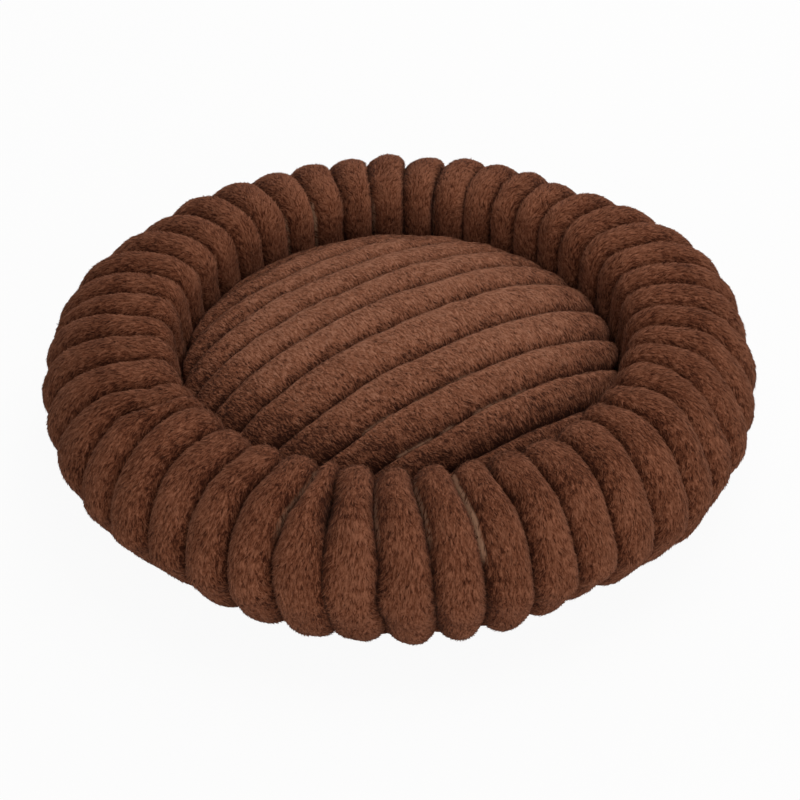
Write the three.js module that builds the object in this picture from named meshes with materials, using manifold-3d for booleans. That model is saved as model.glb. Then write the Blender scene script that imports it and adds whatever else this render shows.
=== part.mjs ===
// Round ribbed plush bed for a cat or small dog: a stuffed ring on a fabric base, and a loose
// domed cushion, with a zip at its back, that lifts straight out of the ring. Millimetres, +Z up,
// origin on the floor under the middle of the ring. The front of the bed faces -Y.

import * as THREE from 'three';
import { mergeVertices } from 'three/addons/utils/BufferGeometryUtils.js';
import Module from 'manifold-3d';

const wasm = await Module();
wasm.setup();

// Ring

const BED_RADIUS = 300;
const RING_OUTER_HALF_WIDTH = 69;
const RING_INNER_HALF_WIDTH = 48;
const RING_HEIGHT = 129;
const RIB_COUNT = 45;
const RIGHT_COVER_RIBS = 22;
const RIB_PILE = 14;
const RIB_RELIEF = 10.5;
const HEM_PILE = 2;
const HEM_WIDTH = 30;

// Base and nest floor

const BASE_THICKNESS = 1.2;
const BASE_LAP = 6;
const WADDING_THICKNESS = 8;
const LINING_THICKNESS = 1;
const SEAM_GAP = 0.3;
const FILL_GAP = 0.8;

// Cushion

const CUSHION_CLEARANCE = 2;
const CUSHION_CROWN = 137;
const CUSHION_EQUATOR = 78;
const CUSHION_PILE = 12;
const CUSHION_HEM = 24;
const CUSHION_FILL_GAP = 4;
const CHANNEL_PITCH = 35;
const CHANNEL_OFFSET = 11;
const CHANNEL_RELIEF = 7;
const UNDERSIDE_THICKNESS = 1.2;
const UNDERSIDE_FLAT_SHARE = 0.7375;
const SEAM_TUCK = 21;
const SEAM_DROP = 40;
const COVER_GAP = 0.9;

// Zip between the cushion's two covers, at the back

const ZIP_LENGTH = 300;
const TAPE_WIDTH = 8.5;
const TAPE_THICKNESS = 0.5;
const TAPE_DEPTH = 0.9;
const COIL_WIDTH = 2;
const COIL_THICKNESS = 2.2;
const COIL_SLOT = 1.3;
const ZIP_CLEARANCE = 0.35;
const STOP_LENGTH = 2.4;
const STOP_THICKNESS = 2.9;
const SLOT_HALF_WIDTH = 6.4;
const SLOT_TAPER = 14;
const SLIDER_LENGTH = 12.4;
const SLIDER_PLATE = 1;
const SLIDER_SIDE = 0.8;
const SLIDER_FLARE = 0.8;
const SLIDER_POST_LENGTH = 3.2;
const SLIDER_POST_THICKNESS = 0.6;
const BAIL_LENGTH = 7.4;
const BAIL_WIDTH = 2;
const BAIL_THICKNESS = 0.9;
const PULL_BAR = 1.4;
const PULL_ARM = 1;
const PULL_THICKNESS = 1.2;
const PULL_WIDTH = 7;
const PULL_LENGTH = 19;
const PULL_EYE_LENGTH = 4.9;
const PULL_SLOT_LENGTH = 3.5;
const PULL_SLOT_WIDTH = 2.2;
const PULL_EYE_WIDTH = 3.2;
const PULL_CORNER = 0.6;
const BAIL_CORNER = 1;
const SLIDER_CORNER = 1.2;

// Directions, counts and shares

const FRONT = -Math.PI / 2;
const BACK = Math.PI / 2;
const RIB_STEP = 2 * Math.PI / RIB_COUNT;
const FRONT_SEAM = FRONT - THREE.MathUtils.degToRad(12.1);
const CHANNEL_DIRECTION = THREE.MathUtils.degToRad(35);
const PULL_TURN = Math.PI / 2;
const RIB_PLACE_SHARES = [0, 0.2, 0.5, 0.8];
const BACKING_PLACE_SHARES = [0, 0.5];
const LAST_CREASE_SHARE = 0.97;
const RIB_ROUNDNESS = 2.5;
const RING_POWER = 2.3;
const DOME_POWER = 2.3;
const DOME_SLOPE = 0.6;

const RING_ROWS = 10;
const BACKING_ROWS = 6;
const ROUND_SEGMENTS = 90;
const FILL_SEGMENTS = 60;
const CHANNEL_COLUMNS = 14;
const CAP_ROWS = 3;
const MERIDIAN_STEPS = 48;
const UNDERSIDE_SEGMENTS = 60;
const UNDERSIDE_ROWS = 5;
const FILL_ROWS = 12;
const ZIP_SEGMENTS = 24;
const BAR_SIDES = 10;

// Colours

const PLUSH = 0x6e4431;
const CUSHION_PLUSH = 0x7a4f3c;
const BASE_FABRIC = 0x3a271f;
const LINING_FABRIC = 0x5c3a2b;
const FIBRE = 0xece8df;
const ZIP_FABRIC = 0x4a2a20;
const ZIP_METAL = 0x7a6252;

// Helpers

const lerp = THREE.MathUtils.lerp;

function smooth(value) {
    const t = THREE.MathUtils.clamp(value, 0, 1);
    return t * t * (3 - 2 * t);
}

function polar(radius, angle, height) {
    return new THREE.Vector3(radius * Math.cos(angle), radius * Math.sin(angle), height);
}

// Only position is kept, doubled points are merged and collapsed triangles dropped. A surface
// that came out inside out is turned round, so that every face points out of its solid.
function closed(source) {
    const bare = new THREE.BufferGeometry();
    bare.setAttribute('position', source.getAttribute('position'));
    bare.setIndex(source.index);
    const geometry = mergeVertices(bare);
    const index = geometry.index.array;
    const p = geometry.getAttribute('position');
    const kept = [];
    let volume = 0;
    const [a, b, c] = [new THREE.Vector3(), new THREE.Vector3(), new THREE.Vector3()];
    for (let i = 0; i < index.length; i += 3) {
        const [u, v, w] = [index[i], index[i + 1], index[i + 2]];
        if (u === v || v === w || w === u) continue;
        kept.push(u, v, w);
        a.fromBufferAttribute(p, u);
        b.fromBufferAttribute(p, v);
        c.fromBufferAttribute(p, w);
        volume += a.dot(b.cross(c));
    }
    geometry.setIndex(volume < 0 ? kept.reverse() : kept);
    return geometry;
}

// A surface put together from grids of points and from the strips that join their edges
class Skin {

    constructor() {
        this.points = [];
        this.triangles = [];
    }

    add(point) {
        this.points.push(point.x, point.y, point.z);
        return this.points.length / 3 - 1;
    }

    grid(rows) {
        const ids = rows.map((row) => row.map((point) => this.add(point)));
        for (let i = 0; i + 1 < ids.length; i++) {
            for (let j = 0; j + 1 < ids[i].length; j++) {
                this.triangles.push(ids[i][j], ids[i][j + 1], ids[i + 1][j + 1]);
                this.triangles.push(ids[i][j], ids[i + 1][j + 1], ids[i + 1][j]);
            }
        }
        return ids;
    }

    // how far along a chain of points each of them lies, from 0 to 1
    shares(chain) {
        const at = (id) => new THREE.Vector3().fromArray(this.points, 3 * id);
        const runs = [0];
        for (let i = 1; i < chain.length; i++) {
            runs.push(runs[i - 1] + at(chain[i]).distanceTo(at(chain[i - 1])));
        }
        return runs.map((run) => run / runs.at(-1));
    }

    // between two chains that run the same way and may differ in their number of points
    strip(first, second) {
        const a = this.shares(first);
        const b = this.shares(second);
        let i = 0;
        let j = 0;
        while (i + 1 < first.length || j + 1 < second.length) {
            if (j + 1 >= second.length || (i + 1 < first.length && a[i + 1] <= b[j + 1])) {
                this.triangles.push(first[i], second[j], first[i + 1]);
                i++;
            } else {
                this.triangles.push(first[i], second[j], second[j + 1]);
                j++;
            }
        }
    }

    // a thick cover: its outer and inner faces, and the edges between them
    shell(outer, inner, wraps = false) {
        const o = this.grid(outer);
        const back = this.grid(inner.map((row) => row.slice().reverse()));
        const n = back.map((row) => row.slice().reverse());
        const column = (ids, j) => ids.map((row) => row.at(j));
        this.strip(o[0], n[0]);
        this.strip(n.at(-1), o.at(-1));
        if (wraps) return;
        this.strip(column(n, 0), column(o, 0));
        this.strip(column(o, -1), column(n, -1));
    }

    geometry() {
        const geometry = new THREE.BufferGeometry();
        geometry.setAttribute('position', new THREE.Float32BufferAttribute(this.points, 3));
        geometry.setIndex(this.triangles);
        return closed(geometry);
    }

}

function mesh(name, geometry, color, roughness, metalness = 0) {
    const material = new THREE.MeshStandardMaterial({ color, roughness, metalness });
    const made = new THREE.Mesh(geometry, material);
    made.name = name;
    return made;
}

// A solid of revolution about the bed's axis, from a profile of places { r, z }
function turned(profile, segments, start = 0) {
    const points = profile.map(({ r, z }) => new THREE.Vector2(r, z));
    const geometry = new THREE.LatheGeometry(points, segments, start);
    geometry.rotateX(Math.PI / 2);
    return closed(geometry);
}

function disc(radius, low, high) {
    const profile = [{ r: 0, z: low }, { r: radius, z: low }, { r: radius, z: high }, { r: 0, z: high }];
    return turned(profile, ROUND_SEGMENTS);
}

// A section of places { r, z } carried round the bed's axis from one angle to another
function swept(section, first, last, steps) {
    const skin = new Skin();
    const rows = [];
    for (let i = 0; i <= steps; i++) {
        const angle = lerp(first, last, i / steps);
        rows.push([...section, section[0]].map(({ r, z }) => polar(r, angle, z)));
    }
    const ids = skin.grid(rows);
    const flat = section.map(({ r, z }) => new THREE.Vector2(r, z));
    for (const [a, b, c] of THREE.ShapeUtils.triangulateShape(flat, [])) {
        skin.triangles.push(ids[0][a], ids[0][b], ids[0][c]);
        skin.triangles.push(ids[steps][a], ids[steps][c], ids[steps][b]);
    }
    return skin.geometry();
}

function solid(geometry) {
    const { index, attributes } = closed(geometry);
    const vertProperties = new Float32Array(attributes.position.array);
    const triVerts = new Uint32Array(index.array);
    return new wasm.Manifold(new wasm.Mesh({ numProp: 3, vertProperties, triVerts }));
}

function geometryOf(manifold) {
    const { vertProperties, triVerts } = manifold.getMesh();
    const geometry = new THREE.BufferGeometry();
    geometry.setAttribute('position', new THREE.BufferAttribute(vertProperties, 3));
    geometry.setIndex(new THREE.BufferAttribute(triVerts, 1));
    return geometry;
}

function box(width, depth, height, x = 0, y = 0, z = 0) {
    return new THREE.BoxGeometry(width, depth, height).translate(x, y, z);
}

function extruded(shape, thickness, curveSegments = 6) {
    const options = { depth: thickness, bevelEnabled: false, curveSegments };
    return new THREE.ExtrudeGeometry(shape, options).translate(0, 0, -thickness / 2);
}

// How far one rib or channel stands up at a place across it: 0 in the creases, 1 at the crest
function ribHeight(place) {
    return 1 - Math.abs(2 * place - 1) ** RIB_ROUNDNESS;
}

// The pile is pressed short along a seam's hem and reaches its full length HEM_WIDTH past it
function pileAt(distance, fullPile) {
    return lerp(HEM_PILE, fullPile, smooth(distance / HEM_WIDTH));
}

// Ring. Its outline is a flattened oval; the section angle runs from the outer side over the top.

const RING_CENTRE = BED_RADIUS - RING_OUTER_HALF_WIDTH;
const RING_HALF_HEIGHT = RING_HEIGHT / 2;
const NEST_RADIUS = RING_CENTRE - RING_INNER_HALF_WIDTH;
const RING_FOOT = BASE_THICKNESS + SEAM_GAP;
const LINING_UNDERSIDE = RING_FOOT + WADDING_THICKNESS + SEAM_GAP;
const LINING_TOP = LINING_UNDERSIDE + LINING_THICKNESS;

function ringOutline(angle, inset = 0) {
    const c = Math.cos(angle);
    const s = Math.sin(angle);
    const k = (Math.abs(c) ** RING_POWER + Math.abs(s) ** RING_POWER) ** (-1 / RING_POWER);
    const halfWidth = c > 0 ? RING_OUTER_HALF_WIDTH : RING_INNER_HALF_WIDTH;
    const slopeR = Math.sign(c) * Math.abs(c * k) ** (RING_POWER - 1) / halfWidth;
    const slopeZ = Math.sign(s) * Math.abs(s * k) ** (RING_POWER - 1) / RING_HALF_HEIGHT;
    const steepness = Math.hypot(slopeR, slopeZ);
    return {
        r: RING_CENTRE + halfWidth * c * k - inset * slopeR / steepness,
        z: RING_HALF_HEIGHT * (1 + s * k) - inset * slopeZ / steepness,
    };
}

// The section angle between two others at which the outline comes down to a height
function ringAngle(height, above, below) {
    let [high, low] = [above, below];
    for (let i = 0; i < 40; i++) {
        const middle = (high + low) / 2;
        if (ringOutline(middle).z > height) high = middle;
        else low = middle;
    }
    return low;
}

const OUTER_SEAM = ringAngle(RING_FOOT, 0, -Math.PI / 2);
const INNER_SEAM = ringAngle(LINING_TOP, Math.PI, Math.PI * 3 / 2);
const RING_GIRTH = (RING_OUTER_HALF_WIDTH + RING_INNER_HALF_WIDTH) / 2 + RING_HALF_HEIGHT;
const BASE_RADIUS = ringOutline(OUTER_SEAM).r + BASE_LAP;
const FLOOR_RADIUS = ringOutline(INNER_SEAM).r - SEAM_GAP;

function ringPlace(share) {
    const angle = lerp(OUTER_SEAM, INNER_SEAM, share);
    const seamDistance = Math.min(angle - OUTER_SEAM, INNER_SEAM - angle) * RING_GIRTH / 2;
    return { angle, pile: pileAt(seamDistance, RIB_PILE) };
}

function ringBacking(share, gap = 0) {
    const { angle, pile } = ringPlace(share);
    return ringOutline(angle, pile + gap);
}

// The creases of a cover, from one end seam to the other: both seams lie in a crease
function ringCreases(firstRib, ribs) {
    const creases = [];
    for (let i = 0; i <= ribs; i++) creases.push(FRONT_SEAM + (firstRib + i) * RIB_STEP);
    const gap = SEAM_GAP / NEST_RADIUS / 2;
    creases[0] += gap;
    creases[ribs] -= gap;
    return creases;
}

function ringCover(firstRib, ribs) {
    const creases = ringCreases(firstRib, ribs);
    const columns = [];
    for (let i = 0; i < ribs; i++) {
        for (const share of RIB_PLACE_SHARES) {
            columns.push({ angle: lerp(creases[i], creases[i + 1], share), height: ribHeight(share) });
        }
    }
    columns.push({ angle: creases.at(-1), height: 0 });

    const outer = [];
    for (let i = 0; i <= RING_ROWS; i++) {
        const { angle, pile } = ringPlace(i / RING_ROWS);
        const room = (pile - HEM_PILE) / (RIB_PILE - HEM_PILE);
        const relief = RIB_RELIEF * room * ringOutline(angle).r / BED_RADIUS;
        outer.push(columns.map((column) => {
            const place = ringOutline(angle, relief * (1 - column.height));
            return polar(place.r, column.angle, place.z);
        }));
    }
    const inner = [];
    for (let i = 0; i <= BACKING_ROWS; i++) {
        const place = ringBacking(i / BACKING_ROWS);
        inner.push(creases.map((angle) => polar(place.r, angle, place.z)));
    }
    const skin = new Skin();
    skin.shell(outer, inner);
    return skin.geometry();
}

// The stuffing follows the backing of both covers, facet for facet, and lies flat on the base
function ringFill() {
    const profile = [];
    for (let i = 0; i <= BACKING_ROWS; i++) profile.push(ringBacking(i / BACKING_ROWS, FILL_GAP));
    profile.push({ r: profile.at(-1).r, z: RING_FOOT });
    profile.push({ r: profile[0].r - HEM_PILE, z: RING_FOOT });
    profile.push(profile[0]);
    return turned(profile, RIB_COUNT, Math.PI / 2 - FRONT_SEAM);
}

// A line of places { r, z }, measured along its length. An inset is taken square to it, towards
// its right-hand side.
class Line {

    constructor(places) {
        this.places = places;
        this.distances = [0];
        for (let i = 1; i < places.length; i++) {
            const step = Math.hypot(places[i].r - places[i - 1].r, places[i].z - places[i - 1].z);
            this.distances.push(this.distances[i - 1] + step);
        }
        this.length = this.distances.at(-1);
    }

    place(distance) {
        let i = 1;
        while (i < this.places.length - 1 && this.distances[i] < distance) i++;
        const run = this.distances[i] - this.distances[i - 1];
        const share = (distance - this.distances[i - 1]) / run;
        const [a, b] = [this.places[i - 1], this.places[i]];
        return { r: lerp(a.r, b.r, share), z: lerp(a.z, b.z, share) };
    }

    at(distance, inset = 0) {
        const reach = this.length / MERIDIAN_STEPS;
        const before = this.place(Math.max(distance - reach, 0));
        const after = this.place(Math.min(distance + reach, this.length));
        const run = Math.hypot(after.r - before.r, after.z - before.z);
        const { r, z } = this.place(distance);
        return { r: r + inset * (after.z - before.z) / run, z: z - inset * (after.r - before.r) / run };
    }

}

// Cushion. Its top cover wraps past the widest place and meets the underside in a seam below it.

const CUSHION_RADIUS = NEST_RADIUS - CUSHION_CLEARANCE;
const CUSHION_FOOT = LINING_TOP + SEAM_GAP;
const SEAM_TILT = Math.atan2(SEAM_TUCK, SEAM_DROP / 2);
const SEAM_PLACE = { r: CUSHION_RADIUS - SEAM_TUCK, z: CUSHION_EQUATOR - SEAM_DROP };
const UNDERSIDE_FLAT_RADIUS = UNDERSIDE_FLAT_SHARE * SEAM_PLACE.r;

// Across the zip, from its middle line: the outer edges of a coil and of a tape
const COIL_EDGE = COIL_SLOT / 2 + COIL_WIDTH;
const TAPE_EDGE = COIL_EDGE + SEAM_GAP + TAPE_WIDTH;

// A place in the tilted plane of the seam, measured up along it and out from it
function seamPlane(origin, up, out) {
    return {
        r: origin.r + up * Math.sin(SEAM_TILT) + out * Math.cos(SEAM_TILT),
        z: origin.z + up * Math.cos(SEAM_TILT) - out * Math.sin(SEAM_TILT),
    };
}

function domeLine() {
    const places = [];
    const rise = CUSHION_CROWN - CUSHION_EQUATOR;
    for (let i = 0; i < MERIDIAN_STEPS; i++) {
        const t = Math.PI / 2 * i / MERIDIAN_STEPS;
        places.push({
            r: CUSHION_RADIUS * Math.sin(t) ** (2 / DOME_POWER),
            z: CUSHION_EQUATOR + rise * Math.cos(t) ** (2 * DOME_SLOPE),
        });
    }
    const hemStart = seamPlane(SEAM_PLACE, (TAPE_EDGE + CUSHION_HEM) / 2, 0);
    const under = new THREE.QuadraticBezierCurve(
        new THREE.Vector2(CUSHION_RADIUS, CUSHION_EQUATOR),
        new THREE.Vector2(CUSHION_RADIUS, CUSHION_EQUATOR - SEAM_DROP / 2),
        new THREE.Vector2(hemStart.r, hemStart.z),
    );
    for (const point of under.getPoints(MERIDIAN_STEPS)) places.push({ r: point.x, z: point.y });
    places.push(SEAM_PLACE);
    return new Line(places);
}

// The inner face of the underside, from the seam to the edge of its flat middle
function undersideLine() {
    const start = seamPlane(SEAM_PLACE, 0, -HEM_PILE);
    const floor = CUSHION_FOOT + UNDERSIDE_THICKNESS;
    const corner = start.r - (start.z - floor) * Math.tan(SEAM_TILT);
    const curve = new THREE.QuadraticBezierCurve(
        new THREE.Vector2(start.r, start.z),
        new THREE.Vector2(corner, floor),
        new THREE.Vector2(UNDERSIDE_FLAT_RADIUS, floor),
    );
    return new Line(curve.getPoints(MERIDIAN_STEPS).map((point) => ({ r: point.x, z: point.y })));
}

const DOME = domeLine();
const UNDERSIDE = undersideLine();
const ZIP_SEAT = seamPlane(SEAM_PLACE, 0, -(HEM_PILE + TAPE_DEPTH + TAPE_THICKNESS / 2));
const SLOT_END = ZIP_LENGTH / 2 + 2 * Math.PI * ZIP_SEAT.r / UNDERSIDE_SEGMENTS;

// The seam opens round the zip and closes beyond its ends
function hem(angle) {
    const turn = Math.abs(THREE.MathUtils.euclideanModulo(angle - BACK + Math.PI, 2 * Math.PI) - Math.PI);
    const open = 1 - smooth((turn * ZIP_SEAT.r - SLOT_END) / SLOT_TAPER);
    return lerp(COVER_GAP / 2, SLOT_HALF_WIDTH, open);
}

// A point of the top cover, from its place on the flat cloth
function onDome(along, across, inset) {
    const angle = Math.atan2(across, along) + CHANNEL_DIRECTION;
    const share = Math.hypot(along, across) / DOME.length;
    const distance = share * (DOME.length - hem(angle));
    const place = DOME.at(distance, inset(DOME.length - distance));
    return polar(place.r, angle, place.z);
}

// Rows across the channels: some in each whole channel, and closer ones in the two end caps
function channelRows(rowShares) {
    const radius = DOME.length;
    const reach = radius * LAST_CREASE_SHARE;
    const first = Math.ceil((-reach - CHANNEL_OFFSET) / CHANNEL_PITCH);
    const last = Math.floor((reach - CHANNEL_OFFSET) / CHANNEL_PITCH);
    const rows = [];
    for (let k = first; k < last; k++) {
        for (const share of rowShares) rows.push(CHANNEL_OFFSET + (k + share) * CHANNEL_PITCH);
    }
    rows.push(CHANNEL_OFFSET + last * CHANNEL_PITCH);
    const cap = (edge) => {
        const start = Math.asin(edge / radius);
        const end = Math.sign(edge) * Math.PI / 2;
        const places = [];
        for (let i = 1; i <= CAP_ROWS; i++) places.push(radius * Math.sin(lerp(start, end, i / CAP_ROWS)));
        return places;
    };
    return [...cap(rows[0]).reverse(), ...rows, ...cap(rows.at(-1))];
}

function channelHeight(across) {
    const place = (across - CHANNEL_OFFSET) / CHANNEL_PITCH;
    return ribHeight(place - Math.floor(place));
}

function cushionTop() {
    const pile = (distance) => pileAt(distance - CUSHION_HEM, CUSHION_PILE);
    const grid = (rows, inset) => rows.map((across) => {
        const reach = Math.sqrt(Math.max(DOME.length ** 2 - across ** 2, 0));
        const row = [];
        for (let j = 0; j <= CHANNEL_COLUMNS; j++) {
            const along = reach * Math.sin(Math.PI / 2 * (2 * j / CHANNEL_COLUMNS - 1));
            row.push(onDome(along, across, (distance) => inset(distance, across)));
        }
        return row;
    });
    const outer = grid(channelRows(RIB_PLACE_SHARES), (distance, across) => {
        const room = (pile(distance) - HEM_PILE) / (CUSHION_PILE - HEM_PILE);
        return CHANNEL_RELIEF * room * (1 - channelHeight(across));
    });
    const inner = grid(channelRows(BACKING_PLACE_SHARES), pile);
    const skin = new Skin();
    skin.shell(outer, inner);
    return skin.geometry();
}

function cushionUnderside() {
    const face = (inset) => {
        const rows = [];
        for (let i = 0; i <= UNDERSIDE_ROWS + 1; i++) {
            const row = [];
            for (let j = 0; j <= UNDERSIDE_SEGMENTS; j++) {
                const angle = 2 * Math.PI * (j % UNDERSIDE_SEGMENTS) / UNDERSIDE_SEGMENTS;
                const distance = lerp(hem(angle), UNDERSIDE.length, Math.min(i / UNDERSIDE_ROWS, 1));
                const place = UNDERSIDE.at(distance, inset);
                row.push(polar(i > UNDERSIDE_ROWS ? 0 : place.r, angle, place.z));
            }
            rows.push(row);
        }
        return rows;
    };
    const skin = new Skin();
    skin.shell(face(-UNDERSIDE_THICKNESS), face(0), true);
    return skin.geometry();
}

// Zip, in the plane of the seam. Measures across it run up from its middle line.

const SLIDER_CHANNEL = COIL_EDGE + ZIP_CLEARANCE;
const SLIDER_INNER_FACE = COIL_THICKNESS / 2 + ZIP_CLEARANCE;
const SLIDER_OUTER_FACE = SLIDER_INNER_FACE + SLIDER_PLATE;
const PULL_AXIS = SLIDER_OUTER_FACE + ZIP_CLEARANCE + PULL_BAR / 2;

function cushionFill() {
    const back = -TAPE_THICKNESS / 2 - ZIP_CLEARANCE;
    const groove = -SLIDER_OUTER_FACE - ZIP_CLEARANCE;
    const grooveEdge = SLIDER_CHANNEL + SLIDER_SIDE + SLIDER_FLARE + ZIP_CLEARANCE;
    const tapeEdge = TAPE_EDGE + ZIP_CLEARANCE;
    const zipPlaces = [
        [tapeEdge, back], [grooveEdge, back], [grooveEdge, groove],
        [-grooveEdge, groove], [-grooveEdge, back], [-tapeEdge, back],
    ];
    const profile = [];
    for (let i = 0; i <= FILL_ROWS; i++) {
        const distance = lerp(0, DOME.length - tapeEdge - CUSHION_FILL_GAP, i / FILL_ROWS);
        const inset = pileAt(DOME.length - distance - CUSHION_HEM, CUSHION_PILE) + CUSHION_FILL_GAP;
        profile.push(DOME.at(distance, inset));
    }
    for (const [up, out] of zipPlaces) profile.push(seamPlane(ZIP_SEAT, up, out));
    for (let i = 1; i < UNDERSIDE_ROWS; i++) {
        const distance = lerp(tapeEdge, UNDERSIDE.length, i / UNDERSIDE_ROWS);
        profile.push(UNDERSIDE.at(distance, FILL_GAP));
    }
    const bottom = CUSHION_FOOT + UNDERSIDE_THICKNESS + SEAM_GAP;
    profile[0].r = 0;
    profile.push({ r: UNDERSIDE_FLAT_RADIUS, z: bottom }, { r: 0, z: bottom });
    return turned(profile, FILL_SEGMENTS);
}

const ZIP_HALF_ANGLE = ZIP_LENGTH / 2 / ZIP_SEAT.r;
const TAPE_HALF_ANGLE = (SLOT_END + SLOT_TAPER) / ZIP_SEAT.r;
const STOP_ANGLE = STOP_LENGTH / ZIP_SEAT.r;
const CLEARANCE_ANGLE = ZIP_CLEARANCE / ZIP_SEAT.r;
const OPEN_END = BACK - ZIP_HALF_ANGLE;
const CLOSED_END = BACK + ZIP_HALF_ANGLE;
const SLIDER_ANGLE = CLOSED_END - STOP_ANGLE - CLEARANCE_ANGLE - SLIDER_LENGTH / 2 / ZIP_SEAT.r;

// A band in the plane of the seam, between two heights and of one thickness
function zipBand(low, high, thickness, first, last, steps) {
    const corners = [[low, -1], [high, -1], [high, 1], [low, 1]];
    const section = corners.map(([up, side]) => seamPlane(ZIP_SEAT, up, side * thickness / 2));
    return swept(section, first, last, steps);
}

function zipTape(side) {
    const edges = [side * TAPE_EDGE, side * (COIL_EDGE + SEAM_GAP)].sort((a, b) => a - b);
    return zipBand(...edges, TAPE_THICKNESS, BACK - TAPE_HALF_ANGLE, BACK + TAPE_HALF_ANGLE, ZIP_SEGMENTS);
}

function zipCoil(side) {
    const edges = [side * COIL_SLOT / 2, side * COIL_EDGE].sort((a, b) => a - b);
    const first = OPEN_END + STOP_ANGLE + CLEARANCE_ANGLE;
    const last = CLOSED_END - STOP_ANGLE - CLEARANCE_ANGLE;
    return zipBand(...edges, COIL_THICKNESS, first, last, ZIP_SEGMENTS);
}

function topStop(side) {
    const edges = [side * COIL_SLOT / 2, side * COIL_EDGE].sort((a, b) => a - b);
    return zipBand(...edges, STOP_THICKNESS, CLOSED_END - STOP_ANGLE, CLOSED_END, 2);
}

function bottomStop() {
    return zipBand(-COIL_EDGE, COIL_EDGE, STOP_THICKNESS, OPEN_END, OPEN_END + STOP_ANGLE, 2);
}

// Slider and pull are made flat: x towards the closed end, y up across the zip, z out of it. The
// pull is made about its own hinge line and hangs square out of the slider by its weight.

function rounded(corners, radius) {
    const shape = new THREE.Shape();
    const points = corners.map(([x, y]) => new THREE.Vector2(x, y));
    points.forEach((corner, i) => {
        const before = points.at(i - 1).clone().sub(corner).setLength(radius).add(corner);
        const after = points[(i + 1) % points.length].clone().sub(corner).setLength(radius).add(corner);
        if (i === 0) shape.moveTo(before.x, before.y);
        else shape.lineTo(before.x, before.y);
        shape.quadraticCurveTo(corner.x, corner.y, after.x, after.y);
    });
    shape.closePath();
    return shape;
}

function sliderBody() {
    const half = SLIDER_LENGTH / 2;
    const tail = SLIDER_CHANNEL + SLIDER_SIDE;
    const nose = tail + SLIDER_FLARE;
    const plates = rounded(
        [[-half, -tail], [0, -tail], [half, -nose], [half, nose], [0, tail], [-half, tail]],
        SLIDER_CORNER,
    );
    const flare = SLIDER_CHANNEL + 2 * SLIDER_FLARE;
    const channel = new THREE.Shape();
    channel.moveTo(-SLIDER_LENGTH, -SLIDER_CHANNEL);
    channel.lineTo(0, -SLIDER_CHANNEL);
    channel.lineTo(SLIDER_LENGTH, -flare);
    channel.lineTo(SLIDER_LENGTH, flare);
    channel.lineTo(0, SLIDER_CHANNEL);
    channel.lineTo(-SLIDER_LENGTH, SLIDER_CHANNEL);
    const tapeSlot = box(2 * SLIDER_LENGTH, 2 * SLIDER_LENGTH, TAPE_THICKNESS + 2 * ZIP_CLEARANCE);
    const postPlace = half - SLIDER_CORNER - SLIDER_POST_LENGTH / 2;
    const post = box(SLIDER_POST_LENGTH, SLIDER_POST_THICKNESS, 2 * SLIDER_INNER_FACE + SLIDER_PLATE, postPlace);

    const bailTop = PULL_AXIS + PULL_BAR / 2 + ZIP_CLEARANCE + BAIL_THICKNESS;
    const bailFoot = SLIDER_INNER_FACE + SLIDER_PLATE / 2;
    const reach = BAIL_LENGTH / 2;
    const arch = rounded([[-reach, bailFoot], [-reach, bailTop], [reach, bailTop], [reach, bailFoot]], BAIL_CORNER);
    const archSolid = extruded(arch, BAIL_WIDTH).rotateX(Math.PI / 2);
    const windowTop = bailTop - BAIL_THICKNESS;
    const windowMiddle = (SLIDER_OUTER_FACE + windowTop) / 2;
    const windowLength = BAIL_LENGTH - 2 * BAIL_THICKNESS;
    const window = box(windowLength, 2 * BAIL_WIDTH, windowTop - SLIDER_OUTER_FACE, 0, 0, windowMiddle);
    const bail = solid(archSolid).subtract(solid(window));

    const body = solid(extruded(plates, 2 * SLIDER_OUTER_FACE))
        .subtract(solid(extruded(channel, 2 * SLIDER_INNER_FACE)))
        .subtract(solid(tapeSlot))
        .add(solid(post))
        .add(bail);
    return geometryOf(body);
}

function pullBody() {
    const top = PULL_BAR / 2;
    const arm = PULL_EYE_WIDTH / 2 + PULL_ARM;
    const side = PULL_WIDTH / 2;
    const shoulder = PULL_EYE_LENGTH + PULL_ARM;
    const outline = rounded(
        [
            [top, -arm], [top, arm], [-PULL_EYE_LENGTH, arm], [-shoulder, side],
            [-PULL_LENGTH, side], [-PULL_LENGTH, -side], [-shoulder, -side], [-PULL_EYE_LENGTH, -arm],
        ],
        PULL_CORNER,
    );
    const eye = box(PULL_EYE_LENGTH + PULL_BAR, PULL_EYE_WIDTH, PULL_BAR + PULL_THICKNESS, -PULL_EYE_LENGTH / 2 + top);
    const slot = box(PULL_SLOT_LENGTH, PULL_SLOT_WIDTH, PULL_BAR + PULL_THICKNESS, -PULL_LENGTH + side);
    const bar = new THREE.CylinderGeometry(PULL_BAR / 2, PULL_BAR / 2, 2 * arm - PULL_ARM, BAR_SIDES);
    const body = solid(extruded(outline, PULL_THICKNESS))
        .subtract(solid(eye))
        .subtract(solid(slot))
        .add(solid(bar));
    return geometryOf(body);
}

function sliderPlace(angle) {
    const turn = new THREE.Matrix4().makeRotationZ(angle);
    const along = new THREE.Vector3(0, 1, 0);
    const across = new THREE.Vector3(Math.sin(SEAM_TILT), 0, Math.cos(SEAM_TILT));
    const out = new THREE.Vector3().crossVectors(along, across);
    const basis = new THREE.Matrix4().makeBasis(along, across, out);
    basis.setPosition(ZIP_SEAT.r, 0, ZIP_SEAT.z);
    return turn.multiply(basis);
}

// The bed

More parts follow.
